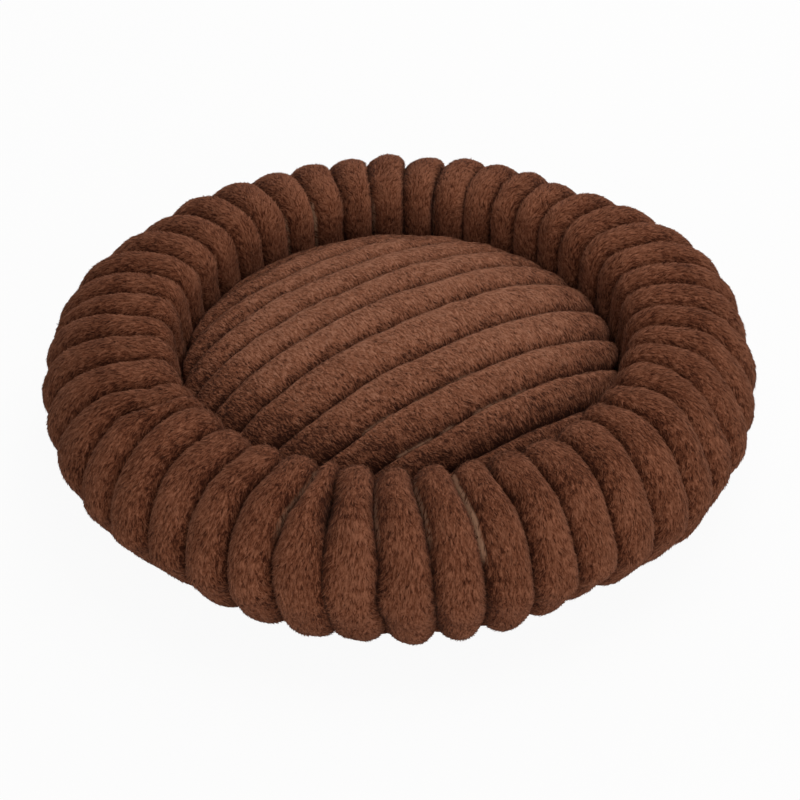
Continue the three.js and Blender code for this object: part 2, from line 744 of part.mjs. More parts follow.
const ring = new THREE.Group();
ring.add(
    mesh('base_panel', disc(BASE_RADIUS, 0, BASE_THICKNESS), BASE_FABRIC, 0.8),
    mesh('floor_wadding', disc(FLOOR_RADIUS, RING_FOOT, LINING_UNDERSIDE - SEAM_GAP), FIBRE, 1),
    mesh('nest_lining', disc(FLOOR_RADIUS, LINING_UNDERSIDE, LINING_TOP), LINING_FABRIC, 0.9),
    mesh('ring_fill', ringFill(), FIBRE, 1),
    mesh('ring_cover_right', ringCover(0, RIGHT_COVER_RIBS), PLUSH, 1),
    mesh('ring_cover_left', ringCover(RIGHT_COVER_RIBS, RIB_COUNT - RIGHT_COVER_RIBS), PLUSH, 1),
);

const zip = new THREE.Group();
zip.add(
    mesh('zip_tape_upper', zipTape(1), ZIP_FABRIC, 0.8),
    mesh('zip_tape_lower', zipTape(-1), ZIP_FABRIC, 0.8),
    mesh('zip_coil_upper', zipCoil(1), ZIP_FABRIC, 0.5),
    mesh('zip_coil_lower', zipCoil(-1), ZIP_FABRIC, 0.5),
    mesh('zip_top_stop_upper', topStop(1), ZIP_METAL, 0.4, 1),
    mesh('zip_top_stop_lower', topStop(-1), ZIP_METAL, 0.4, 1),
    mesh('zip_bottom_stop', bottomStop(), ZIP_METAL, 0.4, 1),
);
const pull = mesh('zip_pull', pullBody(), ZIP_METAL, 0.4, 1);
pull.position.z = PULL_AXIS;
pull.rotation.y = PULL_TURN;

const slider = new THREE.Group();
slider.applyMatrix4(sliderPlace(SLIDER_ANGLE));
slider.add(mesh('zip_slider', sliderBody(), ZIP_METAL, 0.4, 1), pull);
zip.add(slider);

const cushion = new THREE.Group();
cushion.add(
    mesh('cushion_top', cushionTop(), CUSHION_PLUSH, 1),
    mesh('cushion_underside', cushionUnderside(), LINING_FABRIC, 0.9),
    mesh('cushion_fill', cushionFill(), FIBRE, 1),
    zip,
);

const bed = new THREE.Group();
bed.add(ring, cushion);

export default bed;
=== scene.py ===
"""Round ribbed plush bed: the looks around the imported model.

A stuffed ring with radial ribs stands on a fabric base, and a loose domed cushion with slanting
channels lies in it. Shapes are worked out in millimetres and placed in metres.
"""

import math

import bpy
import numpy as np
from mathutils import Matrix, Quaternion, Vector


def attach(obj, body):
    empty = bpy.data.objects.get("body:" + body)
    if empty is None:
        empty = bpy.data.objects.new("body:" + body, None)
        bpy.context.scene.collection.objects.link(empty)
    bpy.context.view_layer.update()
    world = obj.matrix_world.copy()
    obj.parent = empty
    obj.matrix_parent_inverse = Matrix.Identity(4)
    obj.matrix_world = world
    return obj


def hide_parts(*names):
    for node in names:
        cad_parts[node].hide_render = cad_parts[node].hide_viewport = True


bl_info = {
    "name": "Round Plush Bed",
    "version": (1, 0, 0),
    "blender": (4, 5, 0),
    "location": "View3D > Sidebar > Plush Bed",
    "description": "Dresses the packed round plush bed in its fur, cloth, filling and zip",
    "category": "Object",
}

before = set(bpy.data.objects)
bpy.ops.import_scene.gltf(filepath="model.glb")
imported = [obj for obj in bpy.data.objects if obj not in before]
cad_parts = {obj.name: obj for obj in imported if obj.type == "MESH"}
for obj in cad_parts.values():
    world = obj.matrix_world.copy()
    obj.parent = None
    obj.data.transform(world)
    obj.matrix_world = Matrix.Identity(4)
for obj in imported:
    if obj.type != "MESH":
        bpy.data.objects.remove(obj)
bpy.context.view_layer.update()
MM = 0.001

# Shapes, in millimetres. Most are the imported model's own.

RING_CENTRE = 231.0
RING_OUTER_HALF_WIDTH = 69.0
RING_INNER_HALF_WIDTH = 48.0
RING_HALF_HEIGHT = 64.5
RING_POWER = 2.3
RING_FOOT = 1.5
LINING_TOP = 10.8
BASE_SHOWN = 248.0
DOT_PITCH = 13.0
FLOOR_RADIUS = 200.5
LINING_RADIUS = 200.2
ROUND_SEGMENTS = 120
BASE_SEGMENTS = 160
UNDERSIDE_SEGMENTS = 240
RIBS = 45
RIGHT_RIBS = 22
RIB_STEP = 2 * math.pi / RIBS
FRONT_SEAM = math.radians(-102.1)
RIB_PILE = 14.0
HEM_PILE = 2.0
HEM_WIDTH = 22.0
CREASE_START = 13.0
CREASE_TUCK = 3.0
SEAM_GAP = 0.3
SEAM_RADIUS = 183.0
# The stuffed ring stands higher than its solid, flares outwards, and its crest leans inwards
WIDEST_HEIGHT = 68.0
CREST_HEIGHT = 132.0
FLANK_TUCK = 5.0
CREST_LEAN = 9.3
NEST_WIDER = 3.0
NEST_SHIFT = 1.5

# The stuffed cushion is a little wider and lower than its solid
CUSHION_RADIUS = 184.5
CUSHION_CROWN = 132.0
CUSHION_EQUATOR = 79.7
CUSHION_PILE = 13.2
CUSHION_HEM = 24.0
CUSHION_FOOT = 11.1
FILLING_FOOT = 12.9
UNDERSIDE_THICKNESS = 1.2
UNDERSIDE_FLAT_RADIUS = 118.0
DOME_POWER = 1.98
DOME_SLOPE = 1.2
SEAM_TILT = math.atan2(21.0, 20.0)
SEAM_R, SEAM_Z = 160.0, 38.0
TAPE_EDGE = 11.45
COVER_GAP = 0.9
SLOT_HALF_WIDTH = 6.4
SLOT_END = 166.5
SLOT_TAPER = 14.0
ZIP_R = 157.828
ZIP_HALF_LENGTH = 147.6
ZIP_DEPTH = 3.15
TOOTH_PITCH = 1.5
COIL_SIDE, COIL_HALF_WIDTH, COIL_HALF_DEPTH = 1.65, 0.68, 0.76
COIL_WIRE = 0.32
COIL_STEPS = 12
ZIP_PATCH = (150.4, 178.0)
CHANNEL_PITCH = 35.0
CHANNEL_OFFSET = 11.0
CHANNEL_DIRECTION = math.radians(35)

# Shares across half a rib at which the fur is drawn, closest at the crease
HALF_SHARES = [0, 0.01, 0.025, 0.045, 0.075, 0.115, 0.165, 0.225, 0.29, 0.36, 0.43, 0.5]
RIB_SHARES = np.array(HALF_SHARES + [1 - s for s in HALF_SHARES[-2:0:-1]])
RING_ROWS = 148
OVERHANG = 2.4
RING_TUFT_WIDTH, CUSHION_TUFT_WIDTH = 1.05, 0.9
BACKING_EVERY = 11
BACKING_ROW_EVERY = 4

# How far each crease swings from its even place, in degrees, at these angles of the ring's
# section, counted in ribs from the front seam
SWING_LEVELS = [-25, 0, 30, 60, 90]
CREASE_SWINGS = {
    -10: (-5, -5.5, -5, -2.1, 0.5), -9: (-5, -5, -4.2, -1.9, 0), -8: (-4, -4, -3.3, -1.7, 0.4),
    -7: (-2.1, -3.1, -1.9, -0.4, 2.6), -6: (-0.5, 0.7, -0.3, -1.3, 1),
    -5: (-1, 1.5, 0.3, -1.1, -2.7), -4: (0.6, 2.1, 0.7, -0.9, -1.1),
    -3: (-0.1, 1.2, 0.4, -0.4, 0.6), -2: (-0.2, 0.7, -0.1, -0.4, 1.2),
    -1: (0.3, 0.3, -0.5, 0.1, 2), 0: (0.8, 0.5, -0.4, -1.1, -1.5), 1: (1.1, 0.1, 0.5, -0.7, -1.7),
    2: (1.4, 0.9, 0.3, -0.5, -1.9), 3: (1, 0.5, 0.3, -0.3, -1.7), 4: (0.8, -0.2, -0.1, -0.3, -1.5),
    5: (0, -0.5, -0.7, -0.3, -0.5), 6: (-1, -1.5, -1.3, 0.1, 1.1), 7: (-1.5, -2.1, -1.5, 0.1, 2.1),
    8: (-2.1, -2.6, -1.9, 0.4, 2.1), 9: (-2.7, -3.5, -2.5, 0.6, 2.1),
    10: (-3.3, -4, -3.2, -0.2, 2.4), 11: (-3.4, -4, -2.8, 1.2, 1.2),
    12: (-2.5, -2.8, -1.8, 0.8, 0.8),
}
# Creases at the back, which swing alike up to 60 degrees: that swing, and the one at 90
BACK_SWINGS = {
    20: (-0.5, -0.3), 21: (-1.8, -1.2), 22: (-1.9, -1.4), -22: (-1.5, -1), -21: (-1.7, -1.2),
    -20: (-1.4, -1), -19: (-1.8, -1.2), -18: (-1.8, -1.2), -17: (-1.3, -0.8),
}
CREASE_SWINGS.update({i: (low,) * 4 + (top,) for i, (low, top) in BACK_SWINGS.items()})

# Creases with a kink: how far it swings, in degrees, where over the ring, and its spread
CREASE_KINKS = {-6: (1.3, 0.56, 0.05), 8: (-1.2, 0.6, 0.045), 9: (-1.2, 0.6, 0.045)}

# Creases beside which the woven back shows: how strongly, and between which rows of the cover.
# At crease 22, the back seam, only the fur is parted.
BARE_EDGES = {
    3: (0.9, 0.33, 0.72), 2: (0.5, 0.38, 0.62), 1: (0.4, 0.38, 0.6), 44: (0.3, 0.38, 0.62),
    22: (0.7, 0.68, 0.82), 23: (0.8, 0.64, 0.88), 25: (0.8, 0.64, 0.88), 27: (1.0, 0.6, 0.9),
    28: (0.7, 0.64, 0.88),
}

# Where the stuffed ring's outside is fuller or slacker than an even round, and its lower flank:
# degrees from +X, spread in degrees, and how far out in millimetres
FACE_LOBES = ((24, 15, 11.0), (54, 9, -9.0), (160, 15, 6.0))
FLANK_LOBES = ((227, 18, -9.5), (303, 14, -7.5))

# The camera stands 6.5 times the bed's radius away and is turned a little about its own view
CAMERA_DISTANCE = 6.5
CAMERA_PIXELS = 345.0
CAMERA_ROLL = -1.05
# How far right of the bed's middle, and above it, the camera looks: pixels of the picture
CAMERA_SHIFT = (0.5, 35.6)
PICTURE_PIXELS = 800
BED_RADIUS = 0.3

# How white the camera sees the floor, how strongly the sky lights it, and the round lamps:
# their places, sizes and powers
FLOOR_WHITE = 0.94
SKY_STRENGTH = 0.31
LAMPS = {
    "top_light": ((0.6, 0.4, 1.8), 1.6, 15), "back_light": ((0.3, 1.9, 1.2), 1.6, 12),
    "front_light": ((0.45, -2.4, 0.9), 2.0, 24),
}
LAMP_AIM = (0, 0, 0.08)

BARE_CLOTH = (0.56, 0.31, 0.19)


# Numbers and noise

def smooth(value):
    """A soft step from 0 to 1."""
    t = np.clip(value, 0, 1)
    return t * t * (3 - 2 * t)


def hump(value, at, spread):
    """A soft hump of height 1 at a place."""
    return np.exp(-((value - at) / spread) ** 2)


class Noise:
    """Smooth, repeatable noise between -1 and 1 on a plane."""

    def __init__(self, seed):
        self.lattice = np.random.default_rng(seed).uniform(-1, 1, (256, 256))

    def __call__(self, x, y):
        x, y = np.broadcast_arrays(np.asarray(x, float), np.asarray(y, float))
        i, j = np.floor(x).astype(int), np.floor(y).astype(int)
        a, b = smooth(x - i), smooth(y - j)
        g = self.lattice
        i0, i1, j0, j1 = i % 256, (i + 1) % 256, j % 256, (j + 1) % 256
        low = g[i0, j0] * (1 - a) + g[i1, j0] * a
        high = g[i0, j1] * (1 - a) + g[i1, j1] * a
        return low * (1 - b) + high * b


# Meshes

def make_object(name, points, faces, uvs=None):
    """A mesh object from points in millimetres and arrays or lists of faces."""
    blocks = [np.asarray(f, np.int32) for f in faces if len(f)]
    loops = np.concatenate([b.ravel() for b in blocks])
    sizes = np.concatenate([np.full(len(b), b.shape[1], np.int32) for b in blocks])
    mesh = bpy.data.meshes.new(name)
    mesh.vertices.add(len(points))
    mesh.vertices.foreach_set("co", (np.asarray(points) * MM).astype(np.float32).ravel())
    mesh.loops.add(len(loops))
    mesh.loops.foreach_set("vertex_index", loops)
    mesh.polygons.add(len(sizes))
    starts = np.concatenate([[0], np.cumsum(sizes)[:-1]]).astype(np.int32)
    mesh.polygons.foreach_set("loop_start", starts)
    mesh.update(calc_edges=True)
    mesh.polygons.foreach_set("use_smooth", np.ones(len(sizes), bool))
    for uv_name, values in (uvs or {}).items():
        layer = mesh.uv_layers.new(name=uv_name)
        layer.data.foreach_set("uv", values.astype(np.float32).ravel())
    obj = bpy.data.objects.new(name, mesh)
    bpy.context.scene.collection.objects.link(obj)
    return obj


def set_attribute(obj, name, values):
    """Writes one number for each point of a mesh."""
    layer = obj.data.attributes.new(name, "FLOAT", "POINT")
    layer.data.foreach_set("value", np.asarray(values, np.float32).ravel())


def grid_faces(shape, closed_rows=False, closed_cols=False):
    """Faces between neighbouring points of a grid, open or closed round in either direction."""
    rows, cols = shape[:2]
    r, c = np.mgrid[0:rows - (not closed_rows), 0:cols - (not closed_cols)]
    down, right = (r + 1) % rows, (c + 1) % cols
    return np.stack([r * cols + c, r * cols + right, down * cols + right,
                     down * cols + c], -1).reshape(-1, 4)


def shell_faces(outer_shape, inner_shape):
    """Faces of a closed skin: a fine outer grid, a coarser inner one, and the rims between."""
    outer = np.arange(math.prod(outer_shape[:2])).reshape(outer_shape[:2])
    inner = outer.size + np.arange(math.prod(inner_shape[:2])).reshape(inner_shape[:2])

    def rim(fine, coarse, order):
        step = (len(fine) - 1) // (len(coarse) - 1)
        return [[*fine[j * step:(j + 1) * step + 1], coarse[j + 1], coarse[j]][::order]
                for j in range(len(coarse) - 1)]

    return [grid_faces(outer_shape), outer.size + grid_faces(inner_shape)[:, [0, 3, 2, 1]],
            rim(outer[0], inner[0], -1) + rim(outer[-1], inner[-1], 1),
            rim(outer[:, 0], inner[:, 0], 1) + rim(outer[:, -1], inner[:, -1], -1)]


def around(r, angle, z):
    """Points at distances from the bed's axis, angles round it and heights."""
    return np.stack(np.broadcast_arrays(r * np.cos(angle), r * np.sin(angle), z), -1)


def grid_normals(points):
    """Outward normals of a grid of points, row by row."""
    across = np.gradient(points, axis=1)
    along = np.gradient(points, axis=0)
    normals = np.cross(across, along)
    return normals / np.maximum(np.linalg.norm(normals, axis=-1, keepdims=True), 1e-9)


def grid_uvs(faces, outer_shape, inner_shape, cloth):
    """Two maps for a skin: an even one to bake on, and one in metres of cloth."""
    def shares(shape, low, high):
        v, u = np.mgrid[0:shape[0], 0:shape[1]].astype(float)
        return np.stack([u / (shape[1] - 1), low + (high - low) * v / (shape[0] - 1)], -1)

    bake = np.concatenate([shares(outer_shape, 0.12, 1).reshape(-1, 2),
                           shares(inner_shape, 0, 0.1).reshape(-1, 2)])
    loops = np.concatenate([np.asarray(f, np.int32).ravel() for f in faces])
    rim = sum(np.asarray(f).size for f in faces[:2])
    uv = bake[loops]
    uv[rim:, 1] = np.where(loops[rim:] < outer_shape[0] * outer_shape[1], 0.115, 0.105)
    uv[:, 0] = 0.002 + 0.996 * uv[:, 0]
    uv[:, 1] = 0.002 + 0.996 * uv[:, 1]
    return {"OFBake": uv, "cloth": cloth[loops] * MM}


# Ring

def ring_outline(angle, inset=0.0):
    """The ring's section, r and z, at a section angle and a depth under its face."""
    c, s = np.cos(angle), np.sin(angle)
    k = (np.abs(c) ** RING_POWER + np.abs(s) ** RING_POWER) ** (-1 / RING_POWER)
    half = np.where(c > 0, RING_OUTER_HALF_WIDTH, RING_INNER_HALF_WIDTH)
    slope_r = np.sign(c) * np.abs(c * k) ** (RING_POWER - 1) / half
    slope_z = np.sign(s) * np.abs(s * k) ** (RING_POWER - 1) / RING_HALF_HEIGHT
    steep = np.hypot(slope_r, slope_z)
    return (RING_CENTRE + half * c * k - inset * slope_r / steep,
            RING_HALF_HEIGHT * (1 + s * k) - inset * slope_z / steep)


def ring_rows(count):
    """Section angles that lie evenly along the ring's section, and how far along it they are."""
    angle = np.linspace(-math.pi / 2, math.pi * 3 / 2, 20001)
    r, z = ring_outline(angle)
    top = len(angle) // 2
    kept = np.where(((np.arange(len(angle)) < top) & (z >= RING_FOOT))
                    | ((np.arange(len(angle)) >= top) & (z >= LINING_TOP)))[0]
    angle, r, z = angle[kept], r[kept], z[kept]
    way = np.concatenate([[0], np.cumsum(np.hypot(np.diff(r), np.diff(z)))])
    places = np.linspace(0, way[-1], count + 1)
    return np.interp(places, way, angle), places


RING_ANGLES, RING_WAY = ring_rows(RING_ROWS)
RING_GIRTH = RING_WAY[-1]


def ring_slump(angle):
    """How far the stuffed ring's section lies from its solid's: r, z, and its shift to +X."""
    z = ring_outline(angle)[1]
    half = RING_HALF_HEIGHT
    inside = angle > math.pi / 2
    stretched = np.where(z < half, z * WIDEST_HEIGHT / half,
                         WIDEST_HEIGHT + (z - half) * (CREST_HEIGHT - WIDEST_HEIGHT) / half)
    tuck = smooth(stretched / 22) * (1 - smooth((stretched - 40) / (WIDEST_HEIGHT - 40)))
    lean = smooth((stretched - WIDEST_HEIGHT) / (CREST_HEIGHT - WIDEST_HEIGHT))
    up = smooth((z - 84) / 45)
    wide = smooth((z - 45) / 28)
    rise = np.where(inside, (CREST_HEIGHT - 2 * half) * up, stretched - z)
    out = np.where(inside, NEST_WIDER * wide * (1 - up) - CREST_LEAN * up,
                   -FLANK_TUCK * tuck - CREST_LEAN * lean)
    return out, rise, NEST_SHIFT * np.where(inside, wide, smooth(angle / (math.pi / 2)))


def lobes(table, theta):
    """The sum of some soft lobes round the ring, from their places, spreads and heights."""
    turn = np.degrees(theta)
    return sum(high * hump((turn - at + 180) % 360 - 180, 0, spread) for at, spread, high in table)


def ring_place(angle, inset, theta):
    """A point of the stuffed ring, at a depth under its face."""
    r, z = ring_outline(angle, inset)
    out, rise, shift = ring_slump(angle)
    face = smooth((angle + 0.7) / 0.6) * (1 - smooth((angle - 0.5) / 1.3))
    flank = smooth((angle + 1.35) / 0.35) * (1 - smooth((angle + 0.6) / 0.5))
    out = out + face * lobes(FACE_LOBES, theta) + flank * lobes(FLANK_LOBES, theta)
    r, z = r + out, np.maximum(z + rise, 0.4)
    return np.stack([r * np.cos(theta) + shift, r * np.sin(theta), z + 0 * theta], -1)


def crease_angles(row_share):
    """Where each of the ring's creases runs: one row for each place over the ring."""
    wander, shiver = Noise(11), Noise(12)
    draw = np.random.default_rng(13)
    shifts = draw.uniform(-0.4, 0.4, RIBS + 1)
    angle = np.degrees(np.interp(row_share, RING_WAY / RING_GIRTH, RING_ANGLES))
    lines = np.zeros((len(row_share), RIBS + 1))
    for i in range(RIBS + 1):
        signed = i if i <= RIBS // 2 else i - RIBS
        swing = CREASE_SWINGS.get(signed)
        shift = shifts[i] if swing is None else np.interp(angle, SWING_LEVELS, swing)
        way = 0.3 * wander(i * 7.3, row_share * 5) + 0.14 * shiver(i * 3.1, row_share * 16)
        high, at, spread = CREASE_KINKS.get(signed, (0, 0, 1))
        way = way + high * hump(row_share, at, spread)
        lines[:, i] = FRONT_SEAM + i * RIB_STEP + np.radians(shift + way)
    lines[:, RIBS] = lines[:, 0] + 2 * math.pi
    return lines


def crease_depths(row_share, depth):
    """How deep each crease lies, place by place over the ring."""
    uneven = Noise(14)
    i = np.arange(RIBS + 1)[None, :]
    v = row_share[:, None]
    depths = depth * (1 + 0.12 * uneven(i * 5.7, v * 4))
    pucker = 1.3 * hump(row_share, 0.49, 0.08) + 0.55
    depths[:, 0] = depth * np.minimum(pucker, 1.6)
    depths[:, RIBS] = depths[:, 0]
    return depths


def rib_height(away, edge=0.4, fall=2.2):
    """Height over a rib: a round lobe, a little steeper at its crisp edge."""
    head = (1 - np.clip(1 - away / edge, 0, 1) ** 2.1) ** 0.52
    tail = (1 - np.clip((away - edge) / (1 - edge), 0, 1) ** fall) ** 0.6
    return np.where(away < edge, head, tail)


def overhang(away):
    """How far, in millimetres, the fur of a crisp edge hangs over its crease."""
    return np.sin(np.pi * np.clip(away / 0.3, 0, 1)) ** 1.5


SKIN_SHARES = np.array([0, 0.25, 0.5, 0.75])
SWELL_CAP = 5.0
SWELL_FRAMES = 20


def blown_up(start, faces, held):
    """Cloth simulation of a sewn skin under the pressure of its filling, held where it is sewn:
    how far each point has moved outwards after twenty frames, in millimetres."""
    skin = make_object("sewn_skin", start.reshape(-1, 3), [faces])
    skin.vertex_groups.new(name="sewn").add([int(i) for i in held], 1.0, "REPLACE")
    cloth = skin.modifiers.new("Cloth", "CLOTH")
    cloth.settings.quality = 4
    cloth.settings.mass = 0.3
    cloth.settings.vertex_group_mass = "sewn"
    cloth.settings.use_pressure = True
    cloth.settings.uniform_pressure_force = 4
    cloth.settings.effector_weights.gravity = 0
    cloth.settings.bending_stiffness = 1.5
    cloth.collision_settings.use_collision = False
    scene = bpy.context.scene
    for step in range(1, SWELL_FRAMES + 1):
        scene.frame_set(step)
    shaped = skin.evaluated_get(bpy.context.evaluated_depsgraph_get()).to_mesh()
    places, normals = np.empty(start.size), np.empty(start.size)
    shaped.vertices.foreach_get("co", places)
    shaped.vertices.foreach_get("normal", normals)
    moved = places.reshape(-1, 3) / MM - start.reshape(-1, 3)
    outwards = (moved * normals.reshape(-1, 3)).sum(-1)
    mesh = skin.data
    bpy.data.objects.remove(skin)
    bpy.data.meshes.remove(mesh)
    scene.frame_set(1)
    return np.clip(outwards, -SWELL_CAP, SWELL_CAP).reshape(start.shape[:-1])


def across_ribs(way, rib, share):
    """The angle round the ring of each column of a cover, row by row."""
    creases = crease_angles(way / RING_GIRTH)
    return creases[:, rib] + (creases[:, rib + 1] - creases[:, rib]) * share


def cover_columns(first, ribs, shares):
    """The rib of each column of a cover, and the column's share across that rib."""
    rib = np.concatenate([np.repeat(np.arange(ribs), len(shares)), [ribs - 1]]) + first
    return rib, np.concatenate([np.tile(shares, ribs), [1.0]])


def hem_shares(way):
    """How far, from 0 to 1, the pile and the creases have their full depth, away from the hems."""
    distance = np.minimum(way, RING_GIRTH - way)
    return smooth(distance / HEM_WIDTH)[:, None], smooth(distance / CREASE_START)[:, None]


def part_seams(theta):
    """Leaves a narrow gap at a cover's two seams."""
    theta[:, [0, -1]] += np.array([1, -1]) * SEAM_GAP / 2 / SEAM_RADIUS


def ring_swell(settings):
    """How far the filling blows the ring's ribs out between their creases, on a coarse skin."""
    way = RING_WAY[::BACKING_ROW_EVERY]
    rib, share = np.repeat(np.arange(RIBS), 4), np.tile(SKIN_SHARES, RIBS)
    low = settings.crease_depth / MM * (1 - rib_height(share)) * hem_shares(way)[1]
    start = ring_place(RING_ANGLES[::BACKING_ROW_EVERY, None], 2.5 + 0.8 * low,
                       across_ribs(way, rib, share))
    r, c = np.indices(start.shape[:2])
    held = np.flatnonzero((c % 4 == 0) | (r == 0) | (r == len(start) - 1))
    return blown_up(start, grid_faces(start.shape, True, True), held)


def on_ribs(swell, rib, share):
    """A coarse skin's swell on the fine rows and columns of a cover."""
    fine = np.linspace(0, len(swell) - 1, RING_ROWS + 1)
    low = np.minimum(fine.astype(int), len(swell) - 2)
    rows = swell[low] + (swell[low + 1] - swell[low]) * (fine - low)[:, None]
    place = rib * 4 + np.clip(share, 0, 1) * 4
    left = np.floor(place).astype(int)
    a, b = rows[:, left % rows.shape[1]], rows[:, (left + 1) % rows.shape[1]]
    return a + (b - a) * smooth(place - left)


def ring_grid(first, ribs, settings, swell):
    """The furry face of one cover: its points, the share across each rib, and its cloth map."""
    rib, share = cover_columns(first, ribs, RIB_SHARES)
    row = RING_WAY / RING_GIRTH
    depths = crease_depths(row, settings.crease_depth / MM)
    away = 1 - share if first == 0 else share
    from_seam = np.minimum(rib, RIBS - 1 - rib)
    lean = (1 if first == 0 else -1) * OVERHANG * overhang(away) / RING_CENTRE
    lean = lean * smooth((from_seam - 2) / 7)
    room, sunk = hem_shares(RING_WAY)
    theta = across_ribs(RING_WAY, rib, share) + lean * room
    part_seams(theta)
    draw = np.random.default_rng(21)
    edge_of = draw.uniform(0.34, 0.46, RIBS + 1)[rib]
    fall_of = draw.uniform(2.0, 2.5, RIBS + 1)[rib]
    swell_of = draw.uniform(-1.2, 1.4, RIBS + 1)[rib]
    height = rib_height(away, edge_of, fall_of)[None, :]
    depth = np.where(share < 0.5, depths[:, rib], depths[:, rib + 1])
    body = np.sin(np.pi * share)[None, :]
    bulge = swell_of[None, :] + 1.7 * Noise(22)(rib[None, :] * 3.7, row[:, None] * 7)
    if swell is not None:
        bulge = bulge + (on_ribs(swell, rib, share) - np.median(swell[4:-4, 2::4]))
    x = theta * RING_CENTRE
    y = RING_WAY[:, None] + 0 * theta
    clump = (0.55 * Noise(23)(x / 13, y / 15) + 0.4 * Noise(24)(x / 5.5, y / 8)
             + 0.3 * Noise(25)(x / 2.4, y / 5))
    reach = np.where(RING_ANGLES < math.pi / 2, 1.0, 0.9)[:, None]
    inset = sunk * depth * reach * (1 - height)
    inset = inset - room * (bulge * body + clump * (0.25 + 0.45 * height))
    free = smooth((math.radians(115) - RING_ANGLES) / math.radians(30))[:, None]
    inset = np.maximum(inset, -1.0 - 3.0 * free * smooth((RING_ANGLES + 1.2) / 0.5)[:, None])
    points = ring_place(RING_ANGLES[:, None], inset, theta)
    return points, away, rib, height, room, clump, np.stack([x, y], -1)


def ring_backing(first, ribs, settings, gap_under=0.0):
    """The woven back of one cover, on every few rows and columns of its face."""
    way = RING_WAY[::BACKING_ROW_EVERY]
    rib, share = cover_columns(first, ribs, RIB_SHARES[::BACKING_EVERY])
    theta = across_ribs(way, rib, share)
    part_seams(theta)
    room, sunk = hem_shares(way)
    depths = crease_depths(way / RING_GIRTH, settings.crease_depth / MM)
    deep = np.where(share < 0.5, depths[:, rib], depths[:, rib + 1]) + CREASE_TUCK
    pile = HEM_PILE + np.where(share == 0.5, (RIB_PILE - HEM_PILE) * room,
                               np.maximum((deep - HEM_PILE) * sunk, (RIB_PILE - HEM_PILE) * room))
    cloth = np.stack([theta * RING_CENTRE, way[:, None] + 0 * theta], -1)
    return ring_place(RING_ANGLES[::BACKING_ROW_EVERY, None], pile + gap_under, theta), cloth


STUFFING_GAP = 1.2
STUFFING_INNER_RADIUS = 206.0
STUFFING_FOOT = 3.4


def ring_stuffing(settings):
    """The fibre under the covers' backs, closed round the ring and along its foot."""
    over = ring_backing(0, RIBS, settings, gap_under=STUFFING_GAP)[0][1:-1, :-1]
    lumps = 0.5 * Noise(26)(over[..., 0] / 9, over[..., 1] / 9) - 0.5
    over = over + lumps[..., None] * grid_normals(over)
    reach = np.hypot(over[0, :, 0], over[0, :, 1])
    inner = STUFFING_INNER_RADIUS + 0 * reach
    foot = [over[0] * np.stack([r / reach, r / reach, 0 * reach], -1) + np.array([0, 0, z])
            for r, z in ((inner, 12.5), (inner, STUFFING_FOOT), (reach - 7, STUFFING_FOOT))]
    points = np.concatenate([np.array(foot), over])
    return make_object("ring_stuffing", points.reshape(-1, 3),
                       [grid_faces(points.shape, True, True)])


def capped(name, rings, low, high):
    """A closed piece from rings of points, with a point on the axis at either end."""
    rows, segments = rings.shape[:2]
    c, last = np.arange(segments), rows * segments + 1
    right = (c + 1) % segments
    points = np.concatenate([[(0, 0, low)], rings.reshape(-1, 3), [(0, 0, high)]])
    return make_object(name, points, [
        1 + grid_faces(rings.shape, closed_cols=True), np.stack([0 * c, 1 + right, 1 + c], -1),
        last + np.stack([c - segments, right - segments, 0 * c], -1)])


def turned(name, places, segments, shift=None):
    """A closed piece from a line of places, r and z, that runs out from the middle and back."""
    places = np.array(places, float)
    turn = np.arange(segments) * 2 * math.pi / segments
    rings = around(places[1:-1, :1], turn, places[1:-1, 1:])
    if shift is not None:
        rings = shift(rings)
    return capped(name, rings, places[0, 1], places[-1, 1])


# Cushion

class Line:
    """A line of places, r and z, measured along its length."""

    def __init__(self, places):
        self.r, self.z = np.array(places, float).T
        steps = np.hypot(np.diff(self.r), np.diff(self.z))
        self.way = np.concatenate([[0], np.cumsum(steps)])
        self.length = self.way[-1]

    def at(self, distance, inset):
        """The place at a distance, moved square to the line towards its right-hand side."""
        def place(d):
            return np.interp(d, self.way, self.r), np.interp(d, self.way, self.z)

        r0, z0 = place(np.maximum(distance - 3, 0))
        r1, z1 = place(np.minimum(distance + 3, self.length))
        run = np.hypot(r1 - r0, z1 - z0)
        r, z = place(distance)
        return r + inset * (z1 - z0) / run, z - inset * (r1 - r0) / run


def seam_plane(up, out):
    """A place in the tilted plane of the cushion's seam."""
    return (SEAM_R + up * math.sin(SEAM_TILT) + out * math.cos(SEAM_TILT),
            SEAM_Z + up * math.cos(SEAM_TILT) - out * math.sin(SEAM_TILT))


def bezier(a, b, c):
    """A curve from a to c that bends towards b."""
    t = np.linspace(0, 1, 49)[:, None]
    return (1 - t) ** 2 * np.array(a) + 2 * t * (1 - t) * np.array(b) + t ** 2 * np.array(c)


def dome_line():
    """The cushion's top, from its crown over its edge to its seam."""
    t = np.linspace(0, math.pi / 2, 97)[:-1]
    top = np.stack([CUSHION_RADIUS * np.sin(t) ** (2 / DOME_POWER),
                    CUSHION_EQUATOR
                    + (CUSHION_CROWN - CUSHION_EQUATOR) * np.cos(t) ** DOME_SLOPE], -1)
    hem = seam_plane((TAPE_EDGE + CUSHION_HEM) / 2, 0)
    under = bezier((CUSHION_RADIUS, CUSHION_EQUATOR), (CUSHION_RADIUS, CUSHION_EQUATOR - 24), hem)
    return Line(np.concatenate([top, under, [(SEAM_R, SEAM_Z)]]))


